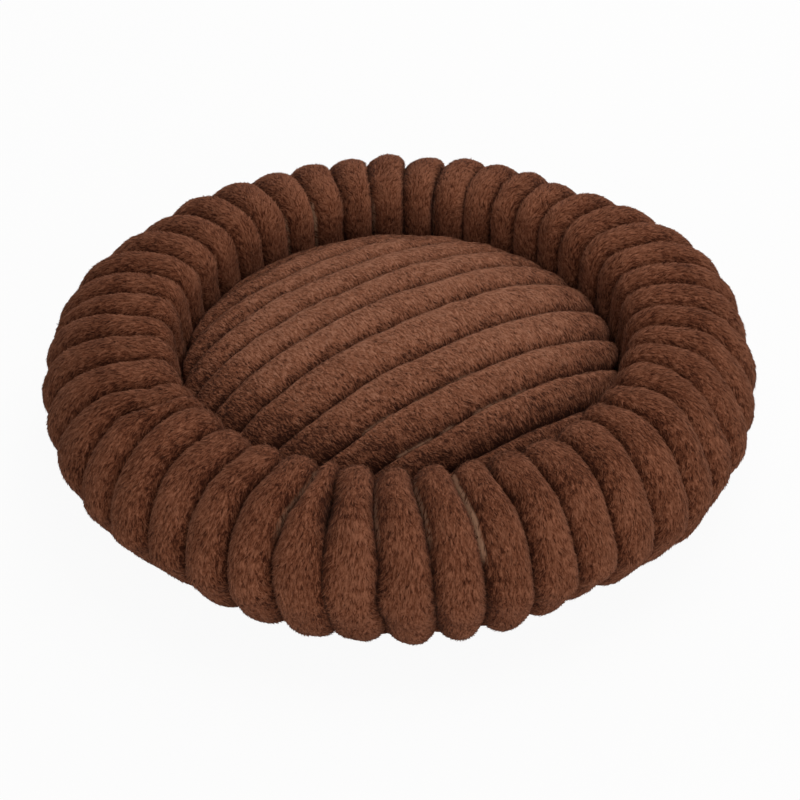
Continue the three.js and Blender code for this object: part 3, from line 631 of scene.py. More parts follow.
def underside_line():
    """The cushion's underside, from its seam to its flat middle."""
    start = seam_plane(0, -HEM_PILE)
    floor = CUSHION_FOOT + UNDERSIDE_THICKNESS
    corner = start[0] - (start[1] - floor) * math.tan(SEAM_TILT)
    return Line(bezier(start, (corner, floor), (UNDERSIDE_FLAT_RADIUS, floor)))


DOME = dome_line()
UNDERSIDE = underside_line()


def hem_of(angle):
    """Half the width that the cushion's seam stands open, all round it."""
    turn = np.abs((angle - math.pi / 2 + math.pi) % (2 * math.pi) - math.pi)
    opened = 1 - smooth((turn * ZIP_R - SLOT_END) / SLOT_TAPER)
    return COVER_GAP / 2 + (SLOT_HALF_WIDTH - COVER_GAP / 2) * opened


def channel_rows(shares, cap_rows):
    """Places across the cushion's channels, with closer ones in its two end caps."""
    radius, reach = DOME.length, DOME.length * 0.97
    first = math.ceil((-reach - CHANNEL_OFFSET) / CHANNEL_PITCH)
    last = math.floor((reach - CHANNEL_OFFSET) / CHANNEL_PITCH)
    rows = [CHANNEL_OFFSET + (k + s) * CHANNEL_PITCH for k in range(first, last) for s in shares]
    rows.append(CHANNEL_OFFSET + last * CHANNEL_PITCH)

    def cap(edge):
        start, end = math.asin(edge / radius), math.copysign(math.asin(0.9996), edge)
        return radius * np.sin(np.linspace(start, end, cap_rows + 1)[1:])

    return np.concatenate([cap(rows[0])[::-1], rows, cap(rows[-1])])


def on_dome(along, across, inset):
    """A point of the top cover, from its place on the flat cloth."""
    angle = np.arctan2(across, along) + CHANNEL_DIRECTION
    share = np.hypot(along, across) / DOME.length
    distance = share * (DOME.length - hem_of(angle))
    r, z = DOME.at(distance, inset)
    shift = NEST_SHIFT * smooth((z - 50) / 30)
    return np.stack([r * np.cos(angle) + shift, r * np.sin(angle), z], -1)


CHANNEL_OVERHANG = 1.8
CHANNEL_DRIFT = 19.0
# Channels whose woven back shows along their first edge: how strongly, and where along them
BARE_CHANNELS = {-3: (0.6, -150, 0), -4: (1.0, -110, 50)}
CUSHION_COLUMNS = 240
CUSHION_CAP_ROWS = 22


def cushion_places(shares, cap_rows, every):
    """Places on the cushion's flat cloth: across its channels, and along each of them."""
    across = channel_rows(shares, cap_rows)
    column = np.linspace(-1, 1, CUSHION_COLUMNS + 1)[::every]
    half = np.sqrt(DOME.length ** 2 - across ** 2)
    return across, half[:, None] * (np.sin(1.2 * column) / math.sin(1.2))[None, :]


def cushion_swell():
    """How far the filling blows the cushion's channels out between their creases."""
    across, along = cushion_places(SKIN_SHARES, 4, 5)
    flat = across[:, None] + 0 * along
    place = (flat - CHANNEL_OFFSET) / CHANNEL_PITCH
    line = np.abs(place - np.round(place))
    room = smooth((DOME.length - np.hypot(along, flat) - CUSHION_HEM) / HEM_WIDTH)
    start = on_dome(along, flat, 3.0 + 7 * (1 - smooth(line / 0.3)) * room)
    held = line < 0.01
    held[[0, -1]] = held[:, [0, -1]] = True
    return across, blown_up(start, grid_faces(start.shape), np.flatnonzero(held))


def cushion_grid(settings, swell):
    """The furry face of the cushion's top cover."""
    across, along = cushion_places(RIB_SHARES, CUSHION_CAP_ROWS, 1)
    flat = across[:, None] + 0 * along
    out = np.clip(np.hypot(along, flat) / DOME.length, 0, 1)
    place = (flat - CHANNEL_OFFSET) / CHANNEL_PITCH
    channel = np.floor(place)
    share = place - channel
    line = np.round(place)
    wander = 2.0 * Noise(31)(line * 5.3, along / 60) + 0.9 * Noise(32)(line * 9.1, along / 22)
    moved = flat + wander * (1 - smooth((out - 0.55) / 0.4))
    drift = CHANNEL_DRIFT * (1 - 0.6 * out ** 2) * (1 - 0.92 * smooth((-10 - flat) / 85))
    moved = moved + drift * (1 - smooth((out - 0.72) / 0.27))
    away = 1 - share
    moved = moved + CHANNEL_OVERHANG * overhang(away) * (1 - smooth((out - 0.55) / 0.4))
    height = rib_height(away, 0.33, 2.2)
    distance = DOME.length * (1 - out)
    room = smooth((distance - CUSHION_HEM) / HEM_WIDTH)
    depth = settings.channel_depth / MM * (1 + 0.15 * Noise(33)(line * 4.3, along / 50))
    risen = 0.7 * Noise(34)(channel * 3.9, along / 45) * np.sin(np.pi * share)
    if swell is not None:
        coarse, blown = swell
        columns = np.linspace(0, blown.shape[1] - 1, along.shape[1])
        rows = np.interp(across, coarse, np.arange(len(coarse)))
        low = np.minimum(rows.astype(int), len(blown) - 2)
        left = np.minimum(columns.astype(int), blown.shape[1] - 2)
        a, b = smooth(rows - low)[:, None], (columns - left)[None, :]
        wide = blown[:, left] * (1 - b) + blown[:, left + 1] * b
        risen = risen + (wide[low] * (1 - a) + wide[low + 1] * a - np.median(blown[20:-20]))
    clump = (0.4 * Noise(35)(along / 12, flat / 12) + 0.35 * Noise(36)(along / 5, flat / 6)
             + 0.25 * Noise(37)(along / 2.6, flat / 2.6))
    inset = room * (depth * (1 - height) - risen - clump * (0.4 + 0.6 * height))
    points = on_dome(along, moved, np.maximum(inset, -0.9))
    return points, away, height, room, clump, np.stack([along, moved], -1), along, flat


def cushion_backing():
    """The woven back of the cushion's top cover."""
    across, along = cushion_places(RIB_SHARES, CUSHION_CAP_ROWS, 10)
    across, along = across[::BACKING_EVERY], along[::BACKING_EVERY]
    flat = across[:, None] + 0 * along
    distance = DOME.length - np.hypot(along, flat)
    pile = HEM_PILE + (CUSHION_PILE - HEM_PILE) * smooth((distance - CUSHION_HEM) / HEM_WIDTH)
    return on_dome(along, flat, pile), np.stack([along, flat], -1)


# Tufts

def unit(vectors):
    """Vectors at length 1."""
    return vectors / np.maximum(np.linalg.norm(vectors, axis=-1, keepdims=True), 1e-9)


def scatter(points, weight, count, draw):
    """Random places on a grid of points: the cell of each and its share across and along it."""
    across = points[:-1, 1:] - points[:-1, :-1]
    along = points[1:, :-1] - points[:-1, :-1]
    area = np.linalg.norm(np.cross(across, along), axis=-1) * weight[:-1, :-1]
    cells = draw.choice(area.size, size=count, p=area.ravel() / area.sum())
    row, column = np.divmod(cells, area.shape[1])
    return row, column, draw.random(count), draw.random(count)


def sampled(grid, place):
    """A grid's values at scattered places."""
    row, column, a, b = place
    shape = (-1,) + (1,) * (grid.ndim - 2)
    a, b = a.reshape(shape), b.reshape(shape)
    low = grid[row, column] * (1 - a) + grid[row, column + 1] * a
    high = grid[row + 1, column] * (1 - a) + grid[row + 1, column + 1] * a
    return low * (1 - b) + high * b


def fur_grids(points, **grids):
    """What the tufts of a cover follow: its furry face, and other grids over it."""
    return {"points": points, "normals": grid_normals(points),
            "along": np.gradient(points, axis=0), **grids}


def tuft_object(name, grids, count, width, seed):
    """Closed slim tufts of fur: flow turns each from straight back along the rows to sideways."""
    draw = np.random.default_rng(seed)
    place = scatter(grids["points"], grids["shown"], count, draw)
    root = sampled(grids["points"], place)
    normal = unit(sampled(grids["normals"], place))
    back = -unit(sampled(grids["along"], place))
    side = unit(np.cross(normal, back))
    turn = sampled(grids["flow"], place) + draw.normal(0, 0.24, count)
    rise = sampled(grids["lift"], place) * draw.uniform(0.6, 1.35, count)
    size = sampled(grids["length"], place) * draw.uniform(0.65, 1.25, count)
    wide = width * draw.uniform(0.7, 1.25, count)
    flat = back * np.cos(turn)[:, None] + side * np.sin(turn)[:, None]
    way = flat * np.cos(rise)[:, None] + normal * np.sin(rise)[:, None]
    beam = unit(np.cross(way, normal))
    crown = unit(np.cross(beam, way))
    root = root - normal * 0.45
    half = (beam.T * wide / 2).T
    corners = np.stack([root - half, root + half, root + (crown.T * wide * 0.55).T,
                        root + (way.T * size).T], 1)
    sides = np.array([[0, 1, 2], [1, 3, 2], [0, 2, 3], [0, 3, 1]])
    faces = (4 * np.arange(count)[:, None, None] + sides).reshape(-1, 3)
    tone = sampled(grids["tone"], place) + draw.normal(0, 0.19, count)
    tones = tone[:, None] + np.array([-0.42, -0.42, -0.1, 0.36])
    cloth = sampled(grids["cloth"], place)
    cells = math.ceil(math.sqrt(count))
    corner = np.stack(np.divmod(np.arange(count), cells), -1) / cells
    spread = np.array([[0.1, 0.1], [0.9, 0.1], [0.5, 0.3], [0.5, 0.9]]) / cells
    bake = corner[:, None, :] + spread
    loops = faces.ravel()
    uvs = {"OFBake": bake.reshape(-1, 2)[loops],
           "cloth": np.repeat(cloth, 4, axis=0)[loops] * MM}
    tufts = make_object(name, corners.reshape(-1, 3), [faces], uvs)
    set_attribute(tufts, "tone", tones)
    set_attribute(tufts, "bare", np.zeros(4 * count))
    lean = draw.normal(0, 0.28, (count, 1, 3))
    shading = unit(normal[:, None, :] + lean + 0.25 * crown[:, None, :]
                   + np.array([-0.3, 0.3, 0, 0])[None, :, None] * beam[:, None, :])
    tufts.data.normals_split_custom_set_from_vertices(shading.reshape(-1, 3))
    return tufts


def cover_object(name, points, inner, cloth, inner_cloth, tone, bare):
    """A plush cover: its furry face and its woven back, with what its fur's colours follow."""
    faces = shell_faces(points.shape, inner.shape)
    all_cloth = np.concatenate([cloth.reshape(-1, 2), inner_cloth.reshape(-1, 2)])
    cover = make_object(name, np.concatenate([points.reshape(-1, 3), inner.reshape(-1, 3)]),
                        faces, grid_uvs(faces, points.shape, inner.shape, all_cloth))
    count = inner.shape[0] * inner.shape[1]
    set_attribute(cover, "tone", np.concatenate([tone.ravel(), np.full(count, 0.3)]))
    set_attribute(cover, "bare", np.concatenate([bare.ravel(), np.ones(count)]))
    return cover


# Materials

def group(name, inputs, outputs):
    """An empty node group with its sockets, its input and its output node."""
    tree = bpy.data.node_groups.new(name, "ShaderNodeTree")
    for label, kind, value in inputs:
        socket = tree.interface.new_socket(name=label, in_out="INPUT", socket_type=kind)
        if value is not None:
            socket.default_value = value
    for label, kind in outputs:
        tree.interface.new_socket(name=label, in_out="OUTPUT", socket_type=kind)
    return tree, tree.nodes.new("NodeGroupInput"), tree.nodes.new("NodeGroupOutput")


def join(tree, value, socket):
    """Links a socket to an input, or gives the input a number or a colour."""
    if isinstance(value, bpy.types.NodeSocket):
        tree.links.new(value, socket)
    elif isinstance(value, (int, float)):
        socket.default_value = value
    else:
        socket.default_value = (*value[:3], 1)


def math_node(tree, operation, a, b=None):
    """A Math node whose inputs are sockets or numbers."""
    node = tree.nodes.new("ShaderNodeMath")
    node.operation = operation
    join(tree, a, node.inputs[0])
    if b is not None:
        join(tree, b, node.inputs[1])
    return node.outputs[0]


def mix_colour(tree, factor, a, b):
    """Two colours mixed by a factor."""
    node = tree.nodes.new("ShaderNodeMix")
    node.data_type = "RGBA"
    for i, value in ((0, factor), (6, a), (7, b)):
        join(tree, value, node.inputs[i])
    return node.outputs[2]


def mix_shaders(tree, seen, plain, other, output):
    """Shows one shader, or another to the rays that a socket names."""
    blend = tree.nodes.new("ShaderNodeMixShader")
    for socket, value in zip(blend.inputs, (seen, plain.outputs[0], other.outputs[0])):
        tree.links.new(value, socket)
    tree.links.new(blend.outputs[0], tree.nodes[output].inputs["Surface"])


def scaled(tree, vector, scale):
    """A vector, scaled on each axis."""
    node = tree.nodes.new("ShaderNodeMapping")
    node.inputs["Scale"].default_value = scale
    tree.links.new(vector, node.inputs["Vector"])
    return node.outputs[0]


def noise(tree, vector, scale=1.0, detail=2.0, roughness=0.5):
    """A Noise texture over a vector."""
    node = tree.nodes.new("ShaderNodeTexNoise")
    node.inputs["Scale"].default_value = scale
    node.inputs["Detail"].default_value = detail
    node.inputs["Roughness"].default_value = roughness
    tree.links.new(vector, node.inputs["Vector"])
    return node.outputs[0]


def pile_group():
    """Fur seen from outside: darker between the tufts, in streaks that are partly painted shade and
    partly the strands' own colour, lighter at their tips.
    """
    colour, number = "NodeSocketColor", "NodeSocketFloat"
    tree, source, sink = group("fur_pile", [
        ("Cloth", "NodeSocketVector", None), ("Root", colour, (0.02, 0.006, 0.003, 1)),
        ("Body", colour, (0.12, 0.045, 0.025, 1)), ("Tip", colour, (0.2, 0.09, 0.055, 1)),
        ("Backing", colour, (0.4, 0.25, 0.16, 1)), ("Tone", number, 0.6), ("Bare", number, 0.0),
    ], [("Color", colour), ("Height", number)])
    cloth = source.outputs["Cloth"]
    # Streaks of strand colour and of painted shade between the tufts
    streak = noise(tree, scaled(tree, cloth, (640, 190, 1)), detail=3)
    fine = noise(tree, scaled(tree, cloth, (1500, 520, 1)), detail=2)
    patch = noise(tree, scaled(tree, cloth, (70, 50, 1)), detail=3)
    tone = source.outputs["Tone"]
    for grain, share in ((streak, 2.5), (fine, 1.5), (patch, 0.45)):
        uneven = math_node(tree, "SUBTRACT", grain, 0.5)
        tone = math_node(tree, "ADD", tone, math_node(tree, "MULTIPLY", uneven, share))
    low = math_node(tree, "MULTIPLY", tone, 2.0)
    low.node.use_clamp = True
    high = math_node(tree, "SUBTRACT", math_node(tree, "MULTIPLY", tone, 2.0), 1.0)
    high.node.use_clamp = True
    dark = mix_colour(tree, low, source.outputs["Root"], source.outputs["Body"])
    fur = mix_colour(tree, high, dark, source.outputs["Tip"])
    out = mix_colour(tree, source.outputs["Bare"], fur, source.outputs["Backing"])
    tree.links.new(out, sink.inputs["Color"])
    height = math_node(tree, "ADD", streak, math_node(tree, "MULTIPLY", fine, 0.5))
    tree.links.new(height, sink.inputs["Height"])
    return tree


def weave_group():
    """Plain woven cloth: threads over and under each other, with slubs."""
    colour, number = "NodeSocketColor", "NodeSocketFloat"
    tree, source, sink = group("plain_weave", [
        ("Place", "NodeSocketVector", None), ("Threads", number, 1400.0),
        ("Light", colour, (0.1, 0.05, 0.03, 1)), ("Dark", colour, (0.05, 0.02, 0.01, 1)),
    ], [("Color", colour), ("Height", number)])
    split = tree.nodes.new("ShaderNodeSeparateXYZ")
    tree.links.new(source.outputs["Place"], split.inputs[0])
    waves = []
    for axis in (0, 1):
        turns = math_node(tree, "MULTIPLY", split.outputs[axis], source.outputs["Threads"])
        waves.append(math_node(tree, "SINE", math_node(tree, "MULTIPLY", turns, math.pi)))
    cross = math_node(tree, "MULTIPLY", waves[0], waves[1])
    height = math_node(tree, "ADD", math_node(tree, "MULTIPLY", cross, 0.5), 0.5)
    slub = noise(tree, scaled(tree, source.outputs["Place"], (30, 260, 1)), detail=4)
    shade = math_node(tree, "ADD", math_node(tree, "MULTIPLY", height, 0.7),
                      math_node(tree, "MULTIPLY", slub, 0.5))
    shade.node.use_clamp = True
    out = mix_colour(tree, shade, source.outputs["Dark"], source.outputs["Light"])
    tree.links.new(out, sink.inputs["Color"])
    tree.links.new(math_node(tree, "ADD", height, math_node(tree, "MULTIPLY", slub, 0.4)),
                   sink.inputs["Height"])
    return tree


def material(name, roughness=0.9, specular=0.2, metallic=0.0, sheen=0.0, tint=(1, 1, 1)):
    """A new material and its Principled shader."""
    made = bpy.data.materials.new(name)
    made.use_nodes = True
    shader = made.node_tree.nodes["Principled BSDF"]
    for label, value in (("Roughness", roughness), ("Specular IOR Level", specular),
                         ("Metallic", metallic), ("Sheen Weight", sheen),
                         ("Sheen Roughness", 0.5), ("Sheen Tint", (*tint, 1))):
        shader.inputs[label].default_value = value
    return made, shader


def group_node(tree, name, values):
    """A node of a group, with its inputs joined."""
    node = tree.nodes.new("ShaderNodeGroup")
    node.node_tree = bpy.data.node_groups[name]
    for label, value in values.items():
        join(tree, value, node.inputs[label])
    return node


def surface(tree, shader, colour, height, strength, distance):
    """Gives a shader its colour and its relief."""
    tree.links.new(colour, shader.inputs["Base Color"])
    node = tree.nodes.new("ShaderNodeBump")
    node.inputs["Strength"].default_value = strength
    node.inputs["Distance"].default_value = distance
    tree.links.new(height, node.inputs["Height"])
    tree.links.new(node.outputs[0], shader.inputs["Normal"])


def attribute(tree, name):
    """A node that reads a mesh's attribute."""
    node = tree.nodes.new("ShaderNodeAttribute")
    node.attribute_name = name
    return node


def uv_map(tree, name):
    """A mesh's UV map, by its name."""
    node = tree.nodes.new("ShaderNodeUVMap")
    node.uv_map = name
    return node.outputs[0]


def fur_material(name, settings):
    """Short dense fur on a cover: its colour follows the tone painted on the mesh."""
    made, shader = material(name, 0.95, 0.1, sheen=0.1, tint=(0.6, 0.32, 0.22))
    tree = made.node_tree
    pile = group_node(tree, "fur_pile", {
        "Cloth": uv_map(tree, "cloth"), "Root": settings.root, "Body": settings.body,
        "Tip": settings.tip, "Backing": BARE_CLOTH,
        "Tone": attribute(tree, "tone").outputs["Fac"],
        "Bare": attribute(tree, "bare").outputs["Fac"],
    })
    surface(tree, shader, pile.outputs["Color"], pile.outputs["Height"], 0.7, 0.0012)
    return made


def woven_material(name, light, dark, threads):
    """Woven cloth in two shades, with so many threads to the metre."""
    made, shader = material(name, 0.85, 0.25, sheen=0.1)
    tree = made.node_tree
    place = tree.nodes.new("ShaderNodeTexCoord").outputs["Object"]
    weave = group_node(tree, "plain_weave", {
        "Place": place, "Threads": threads, "Light": light, "Dark": dark})
    surface(tree, shader, weave.outputs["Color"], weave.outputs["Height"], 0.5, 0.0004)
    return made


def grained_material(name, dark, light, grain, relief, stretch=None, **looks):
    """A material of two colours, mixed by a fine grain that also roughens its surface."""
    made, shader = material(name, **looks)
    tree = made.node_tree
    place = tree.nodes.new("ShaderNodeTexCoord").outputs["Object"]
    if stretch:
        place = scaled(tree, place, stretch)
    spots = noise(tree, place, **grain)
    surface(tree, shader, mix_colour(tree, spots, dark, light), spots, *relief)
    return made


# Settings

def length_setting(name, description, default):
    """A length among the settings."""
    return bpy.props.FloatProperty(
        name=name, description=description, default=default, unit="LENGTH")


def colour_setting(name, description, default):
    """A colour among the settings."""
    return bpy.props.FloatVectorProperty(
        name=name, description=description, default=default, subtype="COLOR")


class PlushBedRing(bpy.types.PropertyGroup):
    """The ring's fur and creases"""
    crease_depth: length_setting("Crease depth", "Depth of the creases between the ribs", 0.0165)
    tuft_length: length_setting(
        "Tuft length", "Length of the fur's tufts that stand out of it", 0.005)
    tufts: bpy.props.IntProperty(
        name="Tufts", description="Tufts of fur on each quarter of the ring", default=49000, min=0)
    body: colour_setting("Fur", "Colour of the ring's fur", (0.145, 0.045, 0.0205))
    tip: colour_setting("Fur tips", "Colour of the tips of the ring's fur", (0.28, 0.108, 0.058))
    root: colour_setting("Fur roots", "Colour deep in the ring's fur", (0.035, 0.008, 0.003))


class PlushBedCushion(bpy.types.PropertyGroup):
    """The cushion's fur and channels"""
    channel_depth: length_setting(
        "Channel depth", "Depth of the creases between the channels", 0.0115)
    tuft_length: length_setting(
        "Tuft length", "Length of the fur's tufts that stand out of it", 0.0042)
    tufts: bpy.props.IntProperty(
        name="Tufts", description="Tufts of fur on each half of the cushion", default=36000, min=0)
    body: colour_setting("Fur", "Colour of the cushion's fur", (0.228, 0.079, 0.039))
    tip: colour_setting("Fur tips", "Colour of the tips of the cushion's fur", (0.37, 0.165, 0.098))
    root: colour_setting("Fur roots", "Colour deep in the cushion's fur", (0.035, 0.01, 0.005))


class PlushBedStage(bpy.types.PropertyGroup):
    """Camera, floor and light"""
    elevation: bpy.props.FloatProperty(
        name="Camera height", description="Angle of the camera above the floor",
        default=math.radians(37.55), subtype="ANGLE")
    light: bpy.props.FloatProperty(
        name="Light", description="Strength of the lamps, as a share of the plain level",
        default=1.0, min=0.0)


# Operators

class PLUSHBED_OT_stage(bpy.types.Operator):
    """Sets the camera, the pale floor and the soft light"""
    bl_idname = "plushbed.stage"
    bl_label = "Stage"

    def execute(self, context):
        settings = context.scene.plushbed_stage
        tilt = settings.elevation
        back = Vector((0, -math.cos(tilt), math.sin(tilt)))
        up = Vector((0, math.sin(tilt), math.cos(tilt)))
        right, above = (shift / CAMERA_PIXELS * BED_RADIUS for shift in CAMERA_SHIFT)
        target = Vector((right, 0, 0)) + up * above
        data = bpy.data.cameras.new("camera")
        data.sensor_width = 36
        data.lens = CAMERA_PIXELS * CAMERA_DISTANCE / PICTURE_PIXELS * 36
        data.clip_start, data.clip_end = 0.1, 60
        camera = bpy.data.objects.new("camera", data)
        context.scene.collection.objects.link(camera)
        camera.rotation_mode = "QUATERNION"
        camera.location = target + back * CAMERA_DISTANCE * BED_RADIUS
        roll = Quaternion(back, math.radians(CAMERA_ROLL))
        camera.rotation_quaternion = roll @ (-back).to_track_quat("-Z", "Y")
        context.scene.camera = camera

        bpy.ops.mesh.primitive_plane_add(size=30, location=(0, 0, 0))
        floor = context.object
        floor.name = "floor"
        made, shader = material("pale_floor", 0.9, 0.0)
        shader.inputs["Base Color"].default_value = (0.8, 0.79, 0.78, 1)
        tree = made.node_tree
        rays = tree.nodes.new("ShaderNodeLightPath").outputs
        mix_shaders(tree, math_node(tree, "MULTIPLY", rays["Is Camera Ray"], FLOOR_WHITE),
                    shader, tree.nodes.new("ShaderNodeEmission"), "Material Output")
        floor.data.materials.append(made)

        world = bpy.data.worlds.new("studio")
        context.scene.world = world
        world.use_nodes = True
        tree = world.node_tree
        plain = tree.nodes["Background"]
        plain.inputs["Color"].default_value = (1, 1, 1, 1)
        plain.inputs["Strength"].default_value = SKY_STRENGTH * settings.light
        white = tree.nodes.new("ShaderNodeBackground")
        white.inputs["Strength"].default_value = 1
        rays = tree.nodes.new("ShaderNodeLightPath").outputs
        seen = math_node(tree, "MAXIMUM", rays["Is Camera Ray"], math_node(
            tree, "MAXIMUM", rays["Is Glossy Ray"], rays["Is Transmission Ray"]))
        mix_shaders(tree, seen, plain, white, "World Output")

        for name, (place, size, power) in LAMPS.items():
            lamp = bpy.data.lights.new(name, "AREA")
            lamp.shape, lamp.size, lamp.energy = "DISK", size, power * settings.light
            holder = bpy.data.objects.new(name, lamp)
            context.scene.collection.objects.link(holder)
            holder.location = place
            aim = Vector(LAMP_AIM) - holder.location
            holder.rotation_mode = "QUATERNION"
            holder.rotation_quaternion = aim.to_track_quat("-Z", "Y")
        context.scene.view_settings.view_transform = "Standard"
        return {"FINISHED"}


def bare_edges(rib, away, left):
    """How far the woven back shows beside some creases, and where the fur over it is parted."""
    row = RING_WAY / RING_GIRTH
    bare, parted = np.zeros((2, len(row), len(rib)))
    for crease, (strength, low, high) in BARE_EDGES.items():
        near = (rib == crease - left) * (1 - smooth((away.max() - away - 0.07) / 0.03))
        crisp = (rib == crease - 1 + left) * (1 - smooth((away - 0.2) / 0.1))
        along = smooth((row - low) / 0.05) * (1 - smooth((row - high) / 0.05))
        bare += strength * along[:, None] * near[None, :]
        parted += strength * along[:, None] * (near + crisp)[None, :]
    return bare, np.minimum(parted, 1)


def fur_tone_and_painted_light(away, height, clump):
    """How light the fur is, with painted shade and a painted highlight: dark in creases and on long
    flanks (painted shade), lightest at crisp edges (painted highlight), and uneven by clump.
    """
    # Painted shade: the fur darkens down into each crease
    depth = smooth(height / 0.9)
    # Painted shade on the long flank of each rib
    flank = smooth((away - 0.6) / 0.4)
    # A painted highlight along each rib's crisp edge
    edge = hump(away, 0.14, 0.1)
    return 0.12 + 0.48 * depth - 0.2 * flank * depth + 0.14 * edge * depth + 0.16 * clump


class PLUSHBED_OT_ring_covers(bpy.types.Operator):
    """Makes the two ribbed plush covers of the ring"""
    bl_idname = "plushbed.ring_covers"
    bl_label = "Ring covers"

    def execute(self, context):
        settings = context.scene.plushbed_ring
        fur = fur_material("ring_fur", settings)
        swell = ring_swell(settings)
        row = RING_WAY / RING_GIRTH
        for name, first, ribs in (("right", 0, RIGHT_RIBS),
                                  ("left", RIGHT_RIBS, RIBS - RIGHT_RIBS)):
            points, away, rib, height, room, clump, cloth = ring_grid(
                first, ribs, settings, swell)
            inner, inner_cloth = ring_backing(first, ribs, settings)
            tone = fur_tone_and_painted_light(away[None, :], height, clump)
            tone = tone - 0.15 * hump(row, 0.49, 0.045)[:, None]
            bare, parted = bare_edges(rib, away, int(first > 0))
            share = away if first else 1 - away
            seam = np.where(rib == 0, share, np.where(rib == RIBS - 1, 1 - share, 1))
            # Painted shade where the front seam puckers down over the crest
            tone = tone - (0.28 * hump(row, 0.5, 0.05)[:, None]
                           * hump(seam, 0, 0.22)[None, :])
            cover = cover_object(f"ring_plush_{name}", points, inner, cloth, inner_cloth,
                                 tone, bare)
            cover.data.materials.append(fur)
            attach(cover, "ring")
            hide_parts(f"ring_cover_{name}")

            x, y = cloth[..., 0], cloth[..., 1]
            inward = smooth((row - 0.42) / 0.3)[:, None]
            comb = 0.9 * Noise(41)(x / 22, y / 26) + 0.5 * Noise(42)(x / 8, y / 10)
            fan = (0.55 * (2 * share - 1) ** 3 + 0.3 * (2 * share - 1))[None, :]
            flow = (fan + 0.38 * comb) * (1 - inward) + (fan + 1.1 * comb) * inward
            deep = smooth(height / 0.6) * np.ones_like(x)
            lift = np.radians(13 + 6 * inward + 5 * Noise(43)(x / 9, y / 9))
            lift = lift + (1 - deep) * 0.25
            length = settings.tuft_length / MM * (0.55 + 0.45 * deep) * (0.35 + 0.65 * room)
            shown = (0.35 + 0.65 * deep) * np.where(row > 0.86, 0.3, 1)[:, None]
            shown = shown * smooth((RING_WAY - 3) / 6)[:, None] * (1 - 0.95 * parted)
            grids = fur_grids(points, tone=tone, cloth=cloth, flow=flow, lift=lift,
                              length=length, shown=shown)
            middle = (ribs // 2) * len(RIB_SHARES)
            for part, columns in (("front" if first == 0 else "back", slice(0, middle + 1)),
                                  ("back" if first == 0 else "front", slice(middle, None))):
                cut = {key: value[:, columns] for key, value in grids.items()}
                tufts = tuft_object(f"ring_fur_{name}_{part}", cut, settings.tufts,
                                    RING_TUFT_WIDTH, 51 + first + len(part))
                tufts.data.materials.append(fur)
                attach(tufts, "ring")
        return {"FINISHED"}


class PLUSHBED_OT_cushion_cover(bpy.types.Operator):
    """Makes the cushion's channelled plush top"""
    bl_idname = "plushbed.cushion_cover"
    bl_label = "Cushion cover"

    def execute(self, context):
        settings = context.scene.plushbed_cushion
        fur = fur_material("cushion_fur", settings)
        points, away, height, room, clump, cloth, along, flat = cushion_grid(
            settings, cushion_swell())
        inner, inner_cloth = cushion_backing()
        tone = fur_tone_and_painted_light(away, height, clump)
        # Painted shade: darker towards the cushion's rim, where it sinks into the ring, and towards
        # its front
        reach = np.hypot(points[..., 0], points[..., 1])
        tone = tone - 0.24 * smooth((reach - 118) / 50)
        tone = tone - 0.2 * smooth((-points[..., 1] - 20) / 120)
        bare = np.zeros(tone.shape)
        channel = np.floor((flat - CHANNEL_OFFSET) / CHANNEL_PITCH)
        for number, (strength, low, high) in BARE_CHANNELS.items():
            near = (channel == number) * (1 - smooth((1 - away - 0.055) / 0.025))
            near = near * smooth(0.45 + 1.6 * Noise(64)(along / 11, flat / 40))
            bare += (strength * near * smooth((along - low) / 20)
                     * (1 - smooth((along - high) / 20)))
        cover = cover_object("cushion_plush", points, inner, cloth, inner_cloth, tone, bare)
        cover.data.materials.append(fur)
        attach(cover, "cushion")
        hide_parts("cushion_top")

        deep = smooth(height / 0.6)
        comb = 0.7 * Noise(61)(along / 30, flat / 30) + 0.4 * Noise(62)(along / 9, flat / 9)
        flow = 0.35 + 0.5 * comb
        lift = np.radians(12 + 5 * Noise(63)(along / 9, flat / 9)) + (1 - deep) * 0.2
        length = settings.tuft_length / MM * (0.6 + 0.4 * deep) * (0.35 + 0.65 * room)
        shown = (0.4 + 0.6 * deep) * (0.15 + 0.85 * room) * (1 - np.minimum(bare, 1)) ** 2
        grids = fur_grids(points, tone=tone, cloth=cloth, flow=flow, lift=lift,
                          length=length, shown=shown)
        middle = len(points) // 2
        for part, rows in (("front", slice(0, middle + 1)), ("back", slice(middle, None))):
            cut = {key: value[rows] for key, value in grids.items()}
            tufts = tuft_object(f"cushion_fur_{part}", cut, settings.tufts,
                                CUSHION_TUFT_WIDTH, 71 + len(part))
            tufts.data.materials.append(fur)
            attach(tufts, "cushion")
        return {"FINISHED"}


